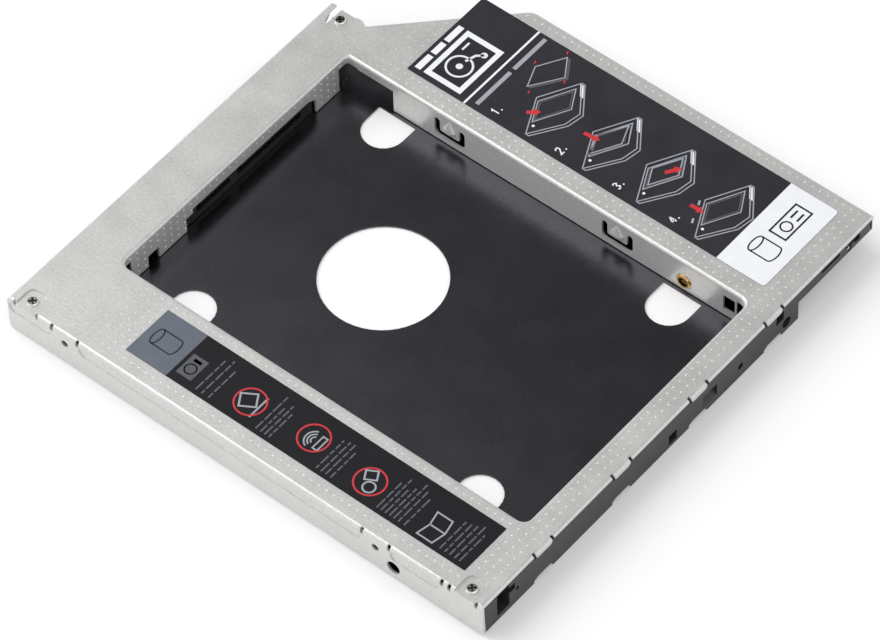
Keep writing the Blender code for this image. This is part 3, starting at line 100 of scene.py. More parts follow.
def makeCamera(settings):
    data = bpy.data.cameras.new("camera")
    data.lens = settings["lens"]
    data.sensor_width = settings["sensor"]
    data.clip_start = settings["nearest"]
    camera = bpy.data.objects.new("camera", data)
    bpy.context.scene.collection.objects.link(camera)
    back = Vector(settings["back"]).normalized()
    up = back.cross(Vector(settings["right"])).normalized()
    turn = Matrix((up.cross(back), up, back)).transposed().to_4x4()
    camera.matrix_world = Matrix.Translation(settings["place"]) @ turn
    bpy.context.scene.camera = camera


studioSettings = {
    "ambient": 0.70,  # level that lights matt surfaces
    "flag": 0.085,  # level of a dark cloth that hangs high at the rear right, so that black faces stay black
    "flagWay": (0.46, 0.41, 0.79),
    "flagEdge": (0.72, 0.90),  # cosine of the angle from its middle where it starts, and where it is full
    "roof": 0.62,  # the tent's roof is greyer than its sides
    "roofEdge": (0.50, 0.75),  # sine of the height angle where the roof starts, and where it is full
    "floorColour": "E6E6E6",
    "floorGlow": 0.2,
    "floorSize": 3.0,  # metres
    "floorDrop": 0.05,  # millimetres between the part's underside and the floor
    "lamps": {  # place and size in metres, energy in watts
        "rear_panel": ((-0.16, 0.82, 0.95), 1.15, 9.4),
        "front_fill": ((-0.12, -0.50, 0.22), 0.5, 0.3),
    },
}


def seenRays(tree):  # 1 for rays from the camera, or mirrored or passed on to it
    path = addNode(tree, "ShaderNodeLightPath")
    seen = addNode(tree, "ShaderNodeMath", {
        0: path.outputs["Is Camera Ray"], 1: path.outputs["Is Glossy Ray"]}, operation="MAXIMUM")
    seen = addNode(tree, "ShaderNodeMath", {
        0: seen.outputs[0], 1: path.outputs["Is Transmission Ray"]}, operation="MAXIMUM")
    return seen.outputs[0]


def makeSurroundings(settings):  # pale all round, with a greyer roof and a dark flag for the gloss to mirror
    world = bpy.data.worlds.new("pale_studio")
    bpy.context.scene.world = world
    world.use_nodes = True
    tree = world.node_tree
    way = addNode(tree, "ShaderNodeTexCoord").outputs["Generated"]
    height = addNode(tree, "ShaderNodeSeparateXYZ", {0: way}).outputs["Z"]
    start, full = settings["roofEdge"]
    roof = addNode(tree, "ShaderNodeMapRange", {
        "Value": height, "From Min": start, "From Max": full,
        "To Min": 1.0, "To Max": settings["roof"]}, interpolation_type="SMOOTHSTEP")
    towards = addNode(tree, "ShaderNodeVectorMath", {0: way, 1: settings["flagWay"]}, operation="DOT_PRODUCT")
    start, full = settings["flagEdge"]
    flag = addNode(tree, "ShaderNodeMapRange", {
        "Value": towards.outputs["Value"], "From Min": start, "From Max": full,
        "To Min": roof.outputs[0], "To Max": settings["flag"]}, interpolation_type="SMOOTHSTEP")
    level = addNode(tree, "ShaderNodeMapRange", {
        "Value": seenRays(tree), "To Min": settings["ambient"], "To Max": flag.outputs[0]})
    tree.links.new(level.outputs[0], tree.nodes["Background"].inputs["Strength"])
    tree.nodes["Background"].inputs["Color"].default_value = (1, 1, 1, 1)


def makeLamps(settings):  # square panels that face the part
    for name, (place, size, energy) in settings["lamps"].items():
        lamp = bpy.data.lights.new(name, "AREA")
        lamp.size = size
        lamp.energy = energy
        panel = bpy.data.objects.new(name, lamp)
        bpy.context.scene.collection.objects.link(panel)
        panel.location = place
        panel.rotation_euler = (-Vector(place)).to_track_quat("-Z", "Y").to_euler()


def makeFloor(settings):  # matt white paper: plain, without gloss, and white where it is lit
    half = settings["floorSize"] / 2
    corners = [(-half, -half, 0), (half, -half, 0), (half, half, 0), (-half, half, 0)]
    mesh = bpy.data.meshes.new("floor")
    mesh.from_pydata(corners, [], [(0, 1, 2, 3)])
    floor = bpy.data.objects.new("floor", mesh)
    floor.location.z = -settings["floorDrop"] * mm
    bpy.context.scene.collection.objects.link(floor)
    material = bpy.data.materials.new("matt_white_paper")
    material.use_nodes = True
    tree = material.node_tree
    shader = tree.nodes["Principled BSDF"]
    shader.inputs["Base Color"].default_value = linearColour(settings["floorColour"])
    shader.inputs["Roughness"].default_value = 1.0
    shader.inputs["Specular IOR Level"].default_value = 0.0
    shader.inputs["Emission Color"].default_value = (1, 1, 1, 1)
    glow = addNode(tree, "ShaderNodeMath", {
        0: seenRays(tree), 1: settings["floorGlow"]}, operation="MULTIPLY")
    tree.links.new(glow.outputs[0], shader.inputs["Emission Strength"])
    mesh.materials.append(material)


makeCamera(cameraSettings)
makeSurroundings(studioSettings)
makeLamps(studioSettings)
makeFloor(studioSettings)
bpy.context.scene.view_settings.view_transform = "Standard"
print("camera and studio ready")


# finishes: sizes in millimetres, shades between which the surface clouds, and the range of its roughness
# colour and dullness stand for both where the nodes aren't read
finishSettings = {
    # tin plated steel, rolled and dipped: soft grey sheen, half mirror, half scatter from its fine crystals
    # the crystals are too fine to show in a picture, so they are drawn 0.4 to 0.5 mm wide
    "plated_steel": {
        "material": "tin_plated_rolled_steel", "metallic": 0.45,
        "colour": "DAD9D6", "shades": ("D2D1CF", "E0DFDD"), "cloudSize": 7.0,
        "speck": 0.1, "speckSize": 0.5, "dullness": 0.32, "roughness": (0.28, 0.38),
        "relief": 0.022, "grainSize": 0.4, "stretch": (1.0, 0.35, 1.0),
    },
    # the same plating, lighter, for the dots that the rolls pressed up: painted highlight, small bright spots
    "highlight_painted_steel": {
        "material": "plated_steel_painted_highlight", "metallic": 0.3,
        "colour": "E9E8E5", "shades": ("E2E1DE", "EFEEEB"), "cloudSize": 3.0,
        "speck": 0.04, "speckSize": 0.3, "dullness": 0.3, "roughness": (0.26, 0.34),
        "relief": 0.004, "grainSize": 0.3,
    },
    # black nickel over rolled steel: deep grey black without grain, with a soft image of the walls round it
    "black_steel": {
        "material": "black_nickel_plated_steel", "metallic": 1.0,
        "colour": "646369", "shades": ("605F65", "69686E"), "cloudSize": 12.0,
        "speck": 0.03, "speckSize": 0.6, "dullness": 0.27, "roughness": (0.26, 0.29),
        "relief": 0.0, "grainSize": 1.6,
    },
    # injection moulded ABS from an eroded mould: even satin black
    "black_moulding": {
        "material": "black_moulded_abs", "metallic": 0.0, "ior": 1.53,
        "colour": "2C2C2E", "shades": ("28282A", "323234"), "cloudSize": 6.0,
        "speck": 0.1, "speckSize": 0.5, "dullness": 0.45, "roughness": (0.42, 0.52),
        "relief": 0.02, "grainSize": 0.35,
    },
    # nickel plated cold headed screws: small bright heads
    "screw_steel": {
        "material": "nickel_plated_screw_steel", "metallic": 1.0,
        "colour": "E4E3E0", "shades": ("DBDAD6", "EDECE9"), "cloudSize": 1.0,
        "speck": 0.06, "speckSize": 0.3, "dullness": 0.18, "roughness": (0.14, 0.24),
        "relief": 0.006, "grainSize": 0.25,
    },
    # the recess of the same screws, darker: painted shade between the bright edges
    "screw_recess": {
        "material": "painted_shade_screw_recess", "metallic": 1.0,
        "colour": "4A4948", "shades": ("3E3D3C", "565554"), "cloudSize": 1.0,
        "speck": 0.1, "speckSize": 0.3, "dullness": 0.4, "roughness": (0.34, 0.46),
        "relief": 0.006, "grainSize": 0.25,
    },
    # turned brass: warm yellow with fine rings from the tool
    "brass": {
        "material": "turned_brass", "metallic": 1.0,
        "colour": "DDB36C", "shades": ("CFA25A", "EBC582"), "cloudSize": 1.2,
        "speck": 0.06, "speckSize": 0.25, "dullness": 0.22, "roughness": (0.16, 0.28),
        "relief": 0.008, "grainSize": 0.3, "stretch": (4.0, 0.5, 0.5),
    },
    # glass laminate under green solder mask: dark green satin
    "board": {
        "material": "solder_masked_laminate", "metallic": 0.0, "ior": 1.55,
        "colour": "123A24", "shades": ("0E3320", "1A4A2E"), "cloudSize": 2.2,
        "speck": 0.08, "speckSize": 0.4, "dullness": 0.35, "roughness": (0.3, 0.42),
        "relief": 0.01, "grainSize": 0.3,
    },
    # black polyester film: thin and slightly glossy
    "film": {
        "material": "black_polyester_film", "metallic": 0.0, "ior": 1.57,
        "colour": "101012", "shades": ("0D0D0F", "151517"), "cloudSize": 5.0,
        "speck": 0.05, "speckSize": 0.8, "dullness": 0.3, "roughness": (0.26, 0.36),
        "relief": 0.01, "grainSize": 1.5,
    },
    # moulded liquid crystal polymer: dull black with faint flow marks
    "connector_plastic": {
        "material": "moulded_connector_polymer", "metallic": 0.0, "ior": 1.6,
        "colour": "161618", "shades": ("131315", "1B1B1E"), "cloudSize": 4.0,
        "speck": 0.1, "speckSize": 0.4, "dullness": 0.5, "roughness": (0.44, 0.56),
        "relief": 0.012, "grainSize": 0.4, "stretch": (0.3, 1.0, 1.0),
    },
    # fired ceramic: matt brown
    "capacitor_ceramic": {
        "material": "fired_capacitor_ceramic", "metallic": 0.0, "ior": 1.6,
        "colour": "9A7B52", "shades": ("8E7049", "A5865C"), "cloudSize": 0.8,
        "speck": 0.05, "speckSize": 0.2, "dullness": 0.5, "roughness": (0.45, 0.55),
        "relief": 0.004, "grainSize": 0.2,
    },
    # printed polyester label stock with a matt varnish: near black, even, slightly blue
    "dark_label": {
        "material": "varnished_polyester_label", "metallic": 0.0, "ior": 1.5,
        "colour": "28272E", "shades": ("26252C", "2C2B33"), "cloudSize": 9.0,
        "speck": 0.05, "speckSize": 0.5, "dullness": 0.38, "roughness": (0.34, 0.44),
        "relief": 0.004, "grainSize": 0.5,
    },
    # the side label's stock has a duller varnish: deeper black, little sheen
    "deep_label": {
        "material": "dull_varnished_polyester_label", "metallic": 0.0, "ior": 1.37,
        "colour": "121118", "shades": ("100F16", "15141B"), "cloudSize": 9.0,
        "speck": 0.05, "speckSize": 0.5, "dullness": 0.5, "roughness": (0.46, 0.56),
        "relief": 0.004, "grainSize": 0.5,
    },
    # gold flashed contact metal: bright yellow
    "contact_gold": {
        "material": "gold_flashed_contact_bronze", "metallic": 1.0,
        "colour": "E3BC6A", "shades": ("D9AE5A", "ECC87C"), "cloudSize": 0.8,
        "speck": 0.04, "speckSize": 0.2, "dullness": 0.2, "roughness": (0.15, 0.28),
        "relief": 0.003, "grainSize": 0.2, "stretch": (1.0, 0.3, 1.0),
    },
}
inkSettings = {  # darker and lighter shade of each printing ink
    "white": ("E8EAEF", "F4F6FA"),
    "grey": ("5C636F", "666D79"),
    "pale": ("9A9DA6", "A8ABB3"),
    "dim": ("505159", "5B5C64"),
    "faint": ("565962", "62656F"),
    "red": ("C4222C", "D5323A"),
    "black": ("1B1B22", "232329"),
    "bright": ("DCDFE4", "EBEDF1"),
}
inkGrain = {  # opaque and matt, a little uneven from the screen
    "metallic": 0.0, "ior": 1.5, "cloudSize": 3.0, "speck": 0.03, "speckSize": 0.4,
    "dullness": 0.45, "roughness": (0.4, 0.5), "relief": 0.002, "grainSize": 0.4,
}
noiseRange = (0.3, 0.7)  # nearly all values of a noise lie between these


def makeFinish(settings):
    # cloudy shade, uneven gloss and fine relief, each from noise whose grain is a size in millimetres
    material = bpy.data.materials.new(settings["material"])
    material.use_nodes = True
    tree = material.node_tree
    shader = tree.nodes["Principled BSDF"]
    shader.inputs["Base Color"].default_value = linearColour(settings["colour"])
    shader.inputs["Roughness"].default_value = settings["dullness"]
    shader.inputs["Metallic"].default_value = settings["metallic"]
    if "ior" in settings:
        shader.inputs["IOR"].default_value = settings["ior"]
    least, most = noiseRange
    place = addNode(tree, "ShaderNodeTexCoord").outputs["Object"]
    cloud = addNode(tree, "ShaderNodeTexNoise", {
        "Vector": place, "Scale": 1 / (settings["cloudSize"] * mm), "Detail": 4.0, "Roughness": 0.6})
    dark, light = settings["shades"]
    shade = addNode(tree, "ShaderNodeMix", {
        0: cloud.outputs[0], 6: linearColour(dark), 7: linearColour(light)}, data_type="RGBA")
    speck = addNode(tree, "ShaderNodeTexNoise", {
        "Vector": place, "Scale": 1 / (settings["speckSize"] * mm), "Detail": 3.0, "Roughness": 0.55})
    speckShade = addNode(tree, "ShaderNodeMapRange", {
        "Value": speck.outputs[0], "From Min": least, "From Max": most,
        "To Min": 1 - settings["speck"], "To Max": 1 + settings["speck"]})
    colour = addNode(tree, "ShaderNodeVectorMath", {
        0: shade.outputs[2], "Scale": speckShade.outputs[0]}, operation="SCALE")
    tree.links.new(colour.outputs[0], shader.inputs["Base Color"])
    low, high = settings["roughness"]
    gloss = addNode(tree, "ShaderNodeMapRange", {
        "Value": cloud.outputs[0], "From Min": least, "From Max": most, "To Min": low, "To Max": high})
    tree.links.new(gloss.outputs[0], shader.inputs["Roughness"])
    stretched = addNode(tree, "ShaderNodeMapping", {
        "Vector": place, "Scale": settings.get("stretch", (1.0, 1.0, 1.0))})
    grain = addNode(tree, "ShaderNodeTexNoise", {
        "Vector": stretched.outputs[0], "Scale": 1 / (settings["grainSize"] * mm), "Detail": 2.0})
    relief = addNode(tree, "ShaderNodeBump", {
        "Strength": 1.0, "Distance": settings["relief"] * mm, "Height": grain.outputs[0]})
    tree.links.new(relief.outputs[0], shader.inputs["Normal"])
    return material


finishes = {name: makeFinish(settings) for name, settings in finishSettings.items()}
for name, shades in inkSettings.items():
    finishes[f"{name}_ink"] = makeFinish({
        "material": f"screen_printed_{name}_ink", "colour": shades[1], "shades": shades, **inkGrain})
print("finishes made:", len(finishes))


# pieces
def makePiece(name, points, faces, finish, slot=None):  # points in millimetres from the front left corner
    mesh = bpy.data.meshes.new(name)
    mesh.from_pydata((np.asarray(points) * mm + corner).tolist(), [], faces)
    mesh.materials.append(finishes[finish])
    piece = bpy.data.objects.new(name, mesh)
    bpy.context.scene.collection.objects.link(piece)
    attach(piece, "root")
    return piece


def repeated(base, faces, places):  # the same small shape at every place, as one pair of arrays
    count = len(base)
    points = (places[:, None, :] + base[None, :, :]).reshape(-1, 3)
    shifts = range(0, count * len(places), count)
    return points, [[index + shift for index in face] for shift in shifts for face in faces]


surfaceSettings = {  # how a node's name starts: its finish, and the angle below which faces form one round
    "top_cover": ("plated_steel", 35),
    "base_plate": ("black_steel", 35),
    "front_bar": ("black_moulding", 30),
    "cover_screw": ("screw_steel", 30),
    "post": ("screw_steel", 30),
    "board_screw": ("screw_steel", 30),
    "bar_screw": ("screw_steel", 30),
    "threaded_bush": ("brass", 30),
    "circuit_board": ("board", 30),
    "insulating_film": ("film", 30),
    "drive_connector": ("connector_plastic", 20),
    "host_connector": ("connector_plastic", 20),
    "capacitor": ("capacitor_ceramic", 20),
}
roundSettings = {
    "merge": 0.001,  # millimetres within which points are one
    "square": 0.9999,  # a face whose normal has a part above this lies square to an axis
    "squareWeight": 1e6,  # and counts this many times as much, so that it stays flat
    "leastWeight": 1e-6,  # so that a face without area still has a normal
}


def roundedNormals(mesh, angle, settings):
    # corner normals: the mean of the faces round a point that meet at less than the angle, by their areas,
    # with flat faces counting most
    corners = len(mesh.loops)
    pointOf = np.empty(corners, np.int32)
    mesh.loops.foreach_get("vertex_index", pointOf)
    faceOf = np.repeat(np.arange(len(mesh.polygons)), [len(face.vertices) for face in mesh.polygons])
    normals = np.empty(len(mesh.polygons) * 3, np.float32)
    mesh.polygons.foreach_get("normal", normals)
    normals = normals.reshape(-1, 3).astype(float)
    areas = np.empty(len(mesh.polygons), np.float32)
    mesh.polygons.foreach_get("area", areas)
    weight = areas / areas.max() + settings["leastWeight"]
    weight[np.abs(normals).max(1) > settings["square"]] *= settings["squareWeight"]
    # every pair of corners at the same point, as two long lists
    order = np.argsort(pointOf, kind="stable")
    sizes = np.bincount(pointOf)
    sizes = sizes[sizes > 0]
    starts = np.concatenate([[0], np.cumsum(sizes)[:-1]])
    rows = np.repeat(np.arange(len(sizes)), sizes ** 2)
    step = np.arange(len(rows)) - np.repeat(np.concatenate([[0], np.cumsum(sizes ** 2)[:-1]]), sizes ** 2)
    first = order[starts[rows] + step // sizes[rows]]
    second = order[starts[rows] + step % sizes[rows]]
    near = (normals[faceOf[first]] * normals[faceOf[second]]).sum(1) > math.cos(math.radians(angle))
    sums = np.zeros((corners, 3))
    share = (weight[faceOf[second]] * near)[:, None] * normals[faceOf[second]]
    np.add.at(sums, first, share)
    return sums / np.linalg.norm(sums, axis=1, keepdims=True)


def makeSurface(node, finish, angle):  # a merged copy of the node with smooth rounds, which stands for it
    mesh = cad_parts[node].data.copy()
    mesh.name = f"{node}_surface"
    shape = bmesh.new()
    shape.from_mesh(mesh)
    bmesh.ops.remove_doubles(shape, verts=shape.verts, dist=roundSettings["merge"] * mm)
    shape.to_mesh(mesh)
    shape.free()
    mesh.shade_smooth()
    mesh.normals_split_custom_set(roundedNormals(mesh, angle, roundSettings).tolist())
    mesh.materials.clear()
    mesh.materials.append(finishes[finish])
    surface = bpy.data.objects.new(f"{node}_surface", mesh)
    bpy.context.scene.collection.objects.link(surface)
    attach(surface, "root")
    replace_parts(surface, node)
    return surface


recessShadeSettings = {
    "reach": 0.98,  # from the screw's axis
    "depth": 0.05,  # below the top of its head
}


def paintRecessShade(surface, node, settings):  # painted shade: the faces inside the screw's recess take the darker finish
    low, high = boxOf(node)
    mesh = surface.data
    middles = np.empty(len(mesh.polygons) * 3, np.float32)
    mesh.polygons.foreach_get("center", middles)
    middles = (middles.reshape(-1, 3) - corner) / mm
    out = np.linalg.norm(middles[:, :2] - ((low + high) / 2)[:2], axis=1)
    inside = (out < settings["reach"]) & (middles[:, 2] < high[2] - settings["depth"])
    mesh.materials.append(finishes["screw_recess"])
    mesh.polygons.foreach_set("material_index", inside.astype(np.int32))


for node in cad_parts:
    for start, (finish, angle) in surfaceSettings.items():
        if node.startswith(start):
            surface = makeSurface(node, finish, angle)
            if start == "cover_screw":
                paintRecessShade(surface, node, recessShadeSettings)
print("surfaces of the solids finished")


# small raised dots on the cover's top and on the wall that is folded down at the bay's rear
dotSettings = {
    "radius": 0.28,
    "height": 0.035,
    "sides": 10,
    "rings": (1.3, 1.0, 0.65, 0.3),  # shares of the radius, the first one inside the sheet
    "clear": 0.12,  # room left round a dot
    "faint": 0.5,  # share of their size that is left at the rear, where the rolls had worn
    "faintFrom": 96.0,  # how far back the dots begin to fade, and where they are faintest
    "faintTo": 112.0,
    "topPitch": (2.05, 2.0),
    "topStart": (1.15, 0.75),
    "flangeHeight": 3.6,  # the folded wall's dots are this many times as high, so that they catch the light
    "flangePitch": (2.1, 2.0),
    "flangeStart": (24.2, 1.95),
    "flangeWall": 113.65,  # its front face
    "rays": 8,  # that test the sheet round each dot
    "rayStart": 3.0,  # how far before the sheet they start
    "level": 0.01,  # how much the sheet's distance may differ
    "square": 0.999,  # least cosine between a ray and the face it meets
}


def dotShape(settings):  # cap of height H (1 - (r / R) ^ 2), which runs on into the sheet and is closed there
    sides = settings["sides"]
    turns = np.arange(sides) * 2 * math.pi / sides
    shares = np.repeat(settings["rings"], sides)
    around = np.tile(turns, len(settings["rings"]))
    heights = settings["height"] * (1 - shares ** 2)
    radii = settings["radius"] * shares
    points = np.column_stack([radii * np.cos(around), radii * np.sin(around), heights])
    points = np.vstack([points, [[0, 0, settings["height"]]]])
    rings = [list(range(row * sides, (row + 1) * sides)) for row in range(len(settings["rings"]))]
    faces = [rings[0][::-1]]
    for low, high in zip(rings, rings[1:]):
        faces += [[low[i], low[(i + 1) % sides], high[(i + 1) % sides], high[i]] for i in range(sides)]
    faces += [[rings[-1][i], rings[-1][(i + 1) % sides], len(points) - 1] for i in range(sides)]
    return points, faces


def treeOf(node):  # the node's faces, ready to be met by rays
    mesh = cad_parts[node].data
    points = [point.co for point in mesh.vertices]
    return BVHTree.FromPolygons(points, [list(face.vertices) for face in mesh.polygons])


def onSheet(spot, way, sheet, labels, settings):
    # true where rays towards the sheet, in the dot's middle and round its rim, meet one level and no label
    way = Vector(way)
    side = way.orthogonal().normalized()
    across = way.cross(side)
    reach = (settings["radius"] + settings["clear"]) * mm
    distance = settings["rayStart"] * mm
    turns = np.arange(settings["rays"]) * 2 * math.pi / settings["rays"]
    shifts = [Vector()] + [reach * (side * math.cos(turn) + across * math.sin(turn)) for turn in turns]
    for shift in shifts:
        start = Vector(spot) + shift - way * distance
        place, normal, _, far = sheet.ray_cast(start, way)
        if place is None or abs(far - distance) > settings["level"] * mm:
            return False
        if normal.dot(way) > -settings["square"]:
            return False
        if any(label.ray_cast(start, way, far)[0] for label in labels):
            return False
    return True


def makeDots(settings):
    sheet = treeOf("top_cover")
    labels = [treeOf("side_label"), treeOf("wing_label")]
    high = boxOf("top_cover")[1]
    base, faces = dotShape(settings)
    xs = np.arange(settings["topStart"][0], high[0], settings["topPitch"][0])
    ys = np.arange(settings["topStart"][1], high[1], settings["topPitch"][1])
    tops = [(x, y, high[2]) for x in xs for y in ys
            if onSheet(corner + np.array([x, y, high[2]]) * mm, (0, 0, -1), sheet, labels, settings)]
    tops = np.array(tops)
    points, allFaces = repeated(base, faces, tops)
    worn = np.clip((tops[:, 1] - settings["faintFrom"]) / (settings["faintTo"] - settings["faintFrom"]), 0, 1)
    share = np.repeat(1 - worn * (1 - settings["faint"]), len(base))[:, None]
    middles = np.repeat(tops, len(base), axis=0)
    points = middles + (points - middles) * share
    # the dots take the lighter copy of the plating, a painted highlight
    makePiece("cover_dots", points, allFaces, "highlight_painted_steel", "plated_steel").data.shade_smooth()
    # the same on the wall folded down at the bay's rear, turned to face the front
    wall = settings["flangeWall"]
    xs = np.arange(settings["flangeStart"][0], high[0], settings["flangePitch"][0])
    zs = np.arange(settings["flangeStart"][1], high[2], settings["flangePitch"][1])
    fronts = [(x, wall, z) for x in xs for z in zs
              if onSheet(corner + np.array([x, wall, z]) * mm, (0, 1, 0), sheet, labels, settings)]
    upright = np.column_stack([base[:, 0], -base[:, 2] * settings["flangeHeight"], base[:, 1]])
    points, allFaces = repeated(upright, faces, np.array(fronts))
    makePiece("flange_dots", points, allFaces, "highlight_painted_steel", "plated_steel").data.shade_smooth()
    return len(tops) + len(fronts)


print("dots on the cover:", makeDots(dotSettings))


# labels: a film body under thin prints, each print a flat closed solid
printSettings = {
    "bodyTop": 9.574,  # height of the film
    "foot": 9.56,  # height where the prints begin, inside the film
    "layer": 0.006,  # height of one layer of ink; order gives each ink's layer
    "order": {"grey": 1, "white": 1, "dim": 2, "faint": 2, "black": 2, "pale": 3, "red": 4, "bright": 4},
    "cornerRadius": 0.2,
    "margin": 0.02,  # film that shows round a printed field
}


def printedPatch(outline):  # a flat solid of height 1 over an outline that runs anticlockwise
    outline = np.asarray(outline, float)
    count = len(outline)
    points = np.vstack([np.column_stack([outline, np.full(count, level)]) for level in (0, 1)])
    faces = [list(range(count - 1, -1, -1)), list(range(count, 2 * count))]
    faces += [[i, (i + 1) % count, count + (i + 1) % count, count + i] for i in range(count)]
    return points, faces


def printedBand(path, width, closed=False):
    # a flat band of height 1: each corner moves by width * s / (s . s) to either side, where s is the sum of
    # the normals of the two stretches that meet there
    path = np.asarray(path, float)
    ahead = np.roll(path, -1, 0) - path
    if not closed:
        ahead[-1] = ahead[-2]
    ahead /= np.linalg.norm(ahead, axis=1, keepdims=True)
    behind = np.roll(ahead, 1, 0)
    if not closed:
        behind[0] = ahead[0]
    both = np.column_stack([-(ahead + behind)[:, 1], (ahead + behind)[:, 0]])
    shift = width * both / (both ** 2).sum(1, keepdims=True)
    rows = [np.column_stack([edge, np.full(len(path), level)]) for edge, level in (
        (path + shift, 1), (path + shift, 0), (path - shift, 0), (path - shift, 1))]
    points = np.stack(rows, 1).reshape(-1, 3)
    count = len(path)
    faces = [[4 * i + k, 4 * ((i + 1) % count) + k, 4 * ((i + 1) % count) + (k + 1) % 4, 4 * i + (k + 1) % 4]
             for i in range(count if closed else count - 1) for k in range(4)]
    if not closed:
        faces += [[0, 1, 2, 3], [4 * count - 1, 4 * count - 2, 4 * count - 3, 4 * count - 4]]
    return points, faces


def rim(x, y, radius, squash=1.0, start=0.0, end=360.0, count=40):  # x + r cos(t), y + squash r sin(t)
    turns = np.radians(np.linspace(start, end, count, endpoint=end - start < 360))
    return np.column_stack([x + radius * np.cos(turns), y + squash * radius * np.sin(turns)])


def oblong(left, low, right, high):
    return [(left, low), (right, low), (right, high), (left, high)]


def softOblong(left, low, right, high, front, rear, count=6):  # an oblong whose corners are quarter circles
    corners = ((right - front, low + front, front, 270), (right - rear, high - rear, rear, 0),
               (left + rear, high - rear, rear, 90), (left + front, low + front, front, 180))
    return np.vstack([rim(x, y, radius, 1.0, turn, turn + 90, count) for x, y, radius, turn in corners])


def tilted(x, y, width, height, angle):  # an oblong turned round its middle
    turn = math.radians(angle)
    cosine, sine = math.cos(turn), math.sin(turn)
    corners = np.array(oblong(-width / 2, -height / 2, width / 2, height / 2))
    return corners @ np.array([[cosine, sine], [-sine, cosine]]) + (x, y)


def jarShape(left, low, width, height, squash=0.42):
    # outline of an upright drum: an ellipse for its lid, and two sides joined by half an ellipse
    radius = width / 2
    top = low + height - radius * squash
    lid = rim(left + radius, top, radius, squash)
    foot = rim(left + radius, low + radius * squash, radius, squash, 180, 360, 16)
    return [(lid, True), (np.vstack([[(left, top)], foot, [(left + width, top)]]), False)]


def arrowShape(start, end, width=0.95, head=2.0, length=0.75):  # length: the head's, as a share of its width
    start, end = np.array(start), np.array(end)
    way = (end - start) / np.linalg.norm(end - start)
    side = np.array([-way[1], way[0]]) / 2
    neck = end - way * head * length
    return [start - side * width, neck - side * width, neck - side * head, end,
            neck + side * head, neck + side * width, start + side * width]


digitSettings = {  # strokes of each number on a 1 by 2 field
    "1": [[(0.2, 1.6), (0.6, 2.0), (0.6, 0.0)]],
    "2": [[(0.0, 1.6), (0.3, 2.0), (0.8, 2.0), (1.0, 1.6), (0.9, 1.2), (0.0, 0.0), (1.0, 0.0)]],
    "3": [[(0.0, 1.8), (0.5, 2.0), (1.0, 1.6), (0.5, 1.1), (1.0, 0.5), (0.5, 0.0), (0.0, 0.2)]],
    "4": [[(0.8, 0.0), (0.8, 2.0)], [(0.8, 2.0), (0.0, 0.65)], [(-0.05, 0.6), (1.15, 0.6)]],
}
stepSettings = {  # four drawings of the frame from a corner, each time with another thing in its bay
    "left": 100.2,
    "levels": (70.3, 55.1, 40.8, 25.4),  # height of each drawing's left corner, where its points are 0, 0
    "stroke": 0.26,
    "outer": ((0, 0), (9.2, 4.5), (18.2, -0.5), (11.3, -5.5), (7.2, -4.8)),
    "thickness": 0.85,
    "inner": ((3.4, 1.0), (8.6, 3.6), (16.2, -0.5), (11.2, -3.3)),
    "lip": ((0.9, -0.05), (0.1, -0.55), (-1.0, -0.05), (0.0, 0.6)),  # from the inner corners to the floor's
    "plug": ((15.1, -3.35), (17.9, -1.25), (17.9, -0.35), (15.1, -2.45)),
    "hole": (2.7, 0.15, 0.34),  # middle and radius
    "numberLeft": 0.3,
    "numberRises": (7.9, 5.8, 4.8, 5.6),
    "numberScale": 0.95,
    "numberStroke": 0.3,
    "point": (1.75, 0.15, 0.2),  # the dot after the number: middle and radius
    "drives": {
        0: ((10.4, 8.0), (15.7, 10.1), (21.9, 6.4), (17.2, 3.3)),
        1: ((4.0, 1.4), (9.2, 3.2), (15.2, -0.3), (10.4, -2.2)),
        2: ((5.0, 0.9), (9.2, 3.0), (15.2, -0.4), (11.0, -2.5)),
    },
    "driveSide": (0.6, 0.5),  # how far its side lies below its top, and how wide it is
    "ticks": {  # colour, size, slant and places of the short marks in a drawing
        0: ("red", (0.9, 0.28, 20), ((9.3, 6.7), (16.6, 10.9), (22.9, 7.2), (16.2, 2.6))),
        3: ("pale", (1.3, 0.5, 25), ((3.2, 3.1), (7.8, 5.0))),
    },
    "arrows": (((104.9, 73.9), (106.9, 71.5)), ((108.0, 60.9), (108.4, 57.0)),
               ((110.0, 41.0), (113.2, 38.9)), ((106.5, 31.5), (106.5, 28.0))),  # from the part's corner
}


def stepPrints(settings, step):
    stroke = settings["stroke"]
    place = np.array([settings["left"], settings["levels"][step]])
    outer = place + np.array(settings["outer"])
    inner = place + np.array(settings["inner"])
    drop = (0, settings["thickness"])
    under = np.vstack([outer[:1], outer[:1] - drop, outer[4:1:-1] - drop, outer[2:3]])
    prints = [("pale", printedBand(outer, stroke, True)), ("pale", printedBand(inner, stroke, True)),
              ("pale", printedBand(under, stroke)),
              ("dim", printedBand(inner + np.array(settings["lip"]), stroke, True)),
              ("white", printedPatch(place + settings["plug"]))]
    prints.append(("white", printedPatch(place + rim(*settings["hole"], count=12))))
    digit = place + (settings["numberLeft"], settings["numberRises"][step])
    for line in digitSettings[str(step + 1)]:
        line = digit + settings["numberScale"] * np.array(line)
        prints.append(("white", printedBand(line, settings["numberStroke"])))
    prints.append(("white", printedPatch(digit + rim(*settings["point"], count=8))))
    if step in settings["drives"]:
        drive = place + np.array(settings["drives"][step])
        drop, width = settings["driveSide"]
        prints.append(("pale", printedBand(drive, stroke, True)))
        prints.append(("dim", printedBand(np.vstack([drive[:1], drive[3:1:-1]]) - (0, drop), width)))
    colour, tick, spots = settings["ticks"].get(step, ("red", (), ()))
    prints += [(colour, printedPatch(place + tilted(*spot, *tick))) for spot in spots]
    prints.append(("red", printedPatch(arrowShape(*settings["arrows"][step]))))
    return prints


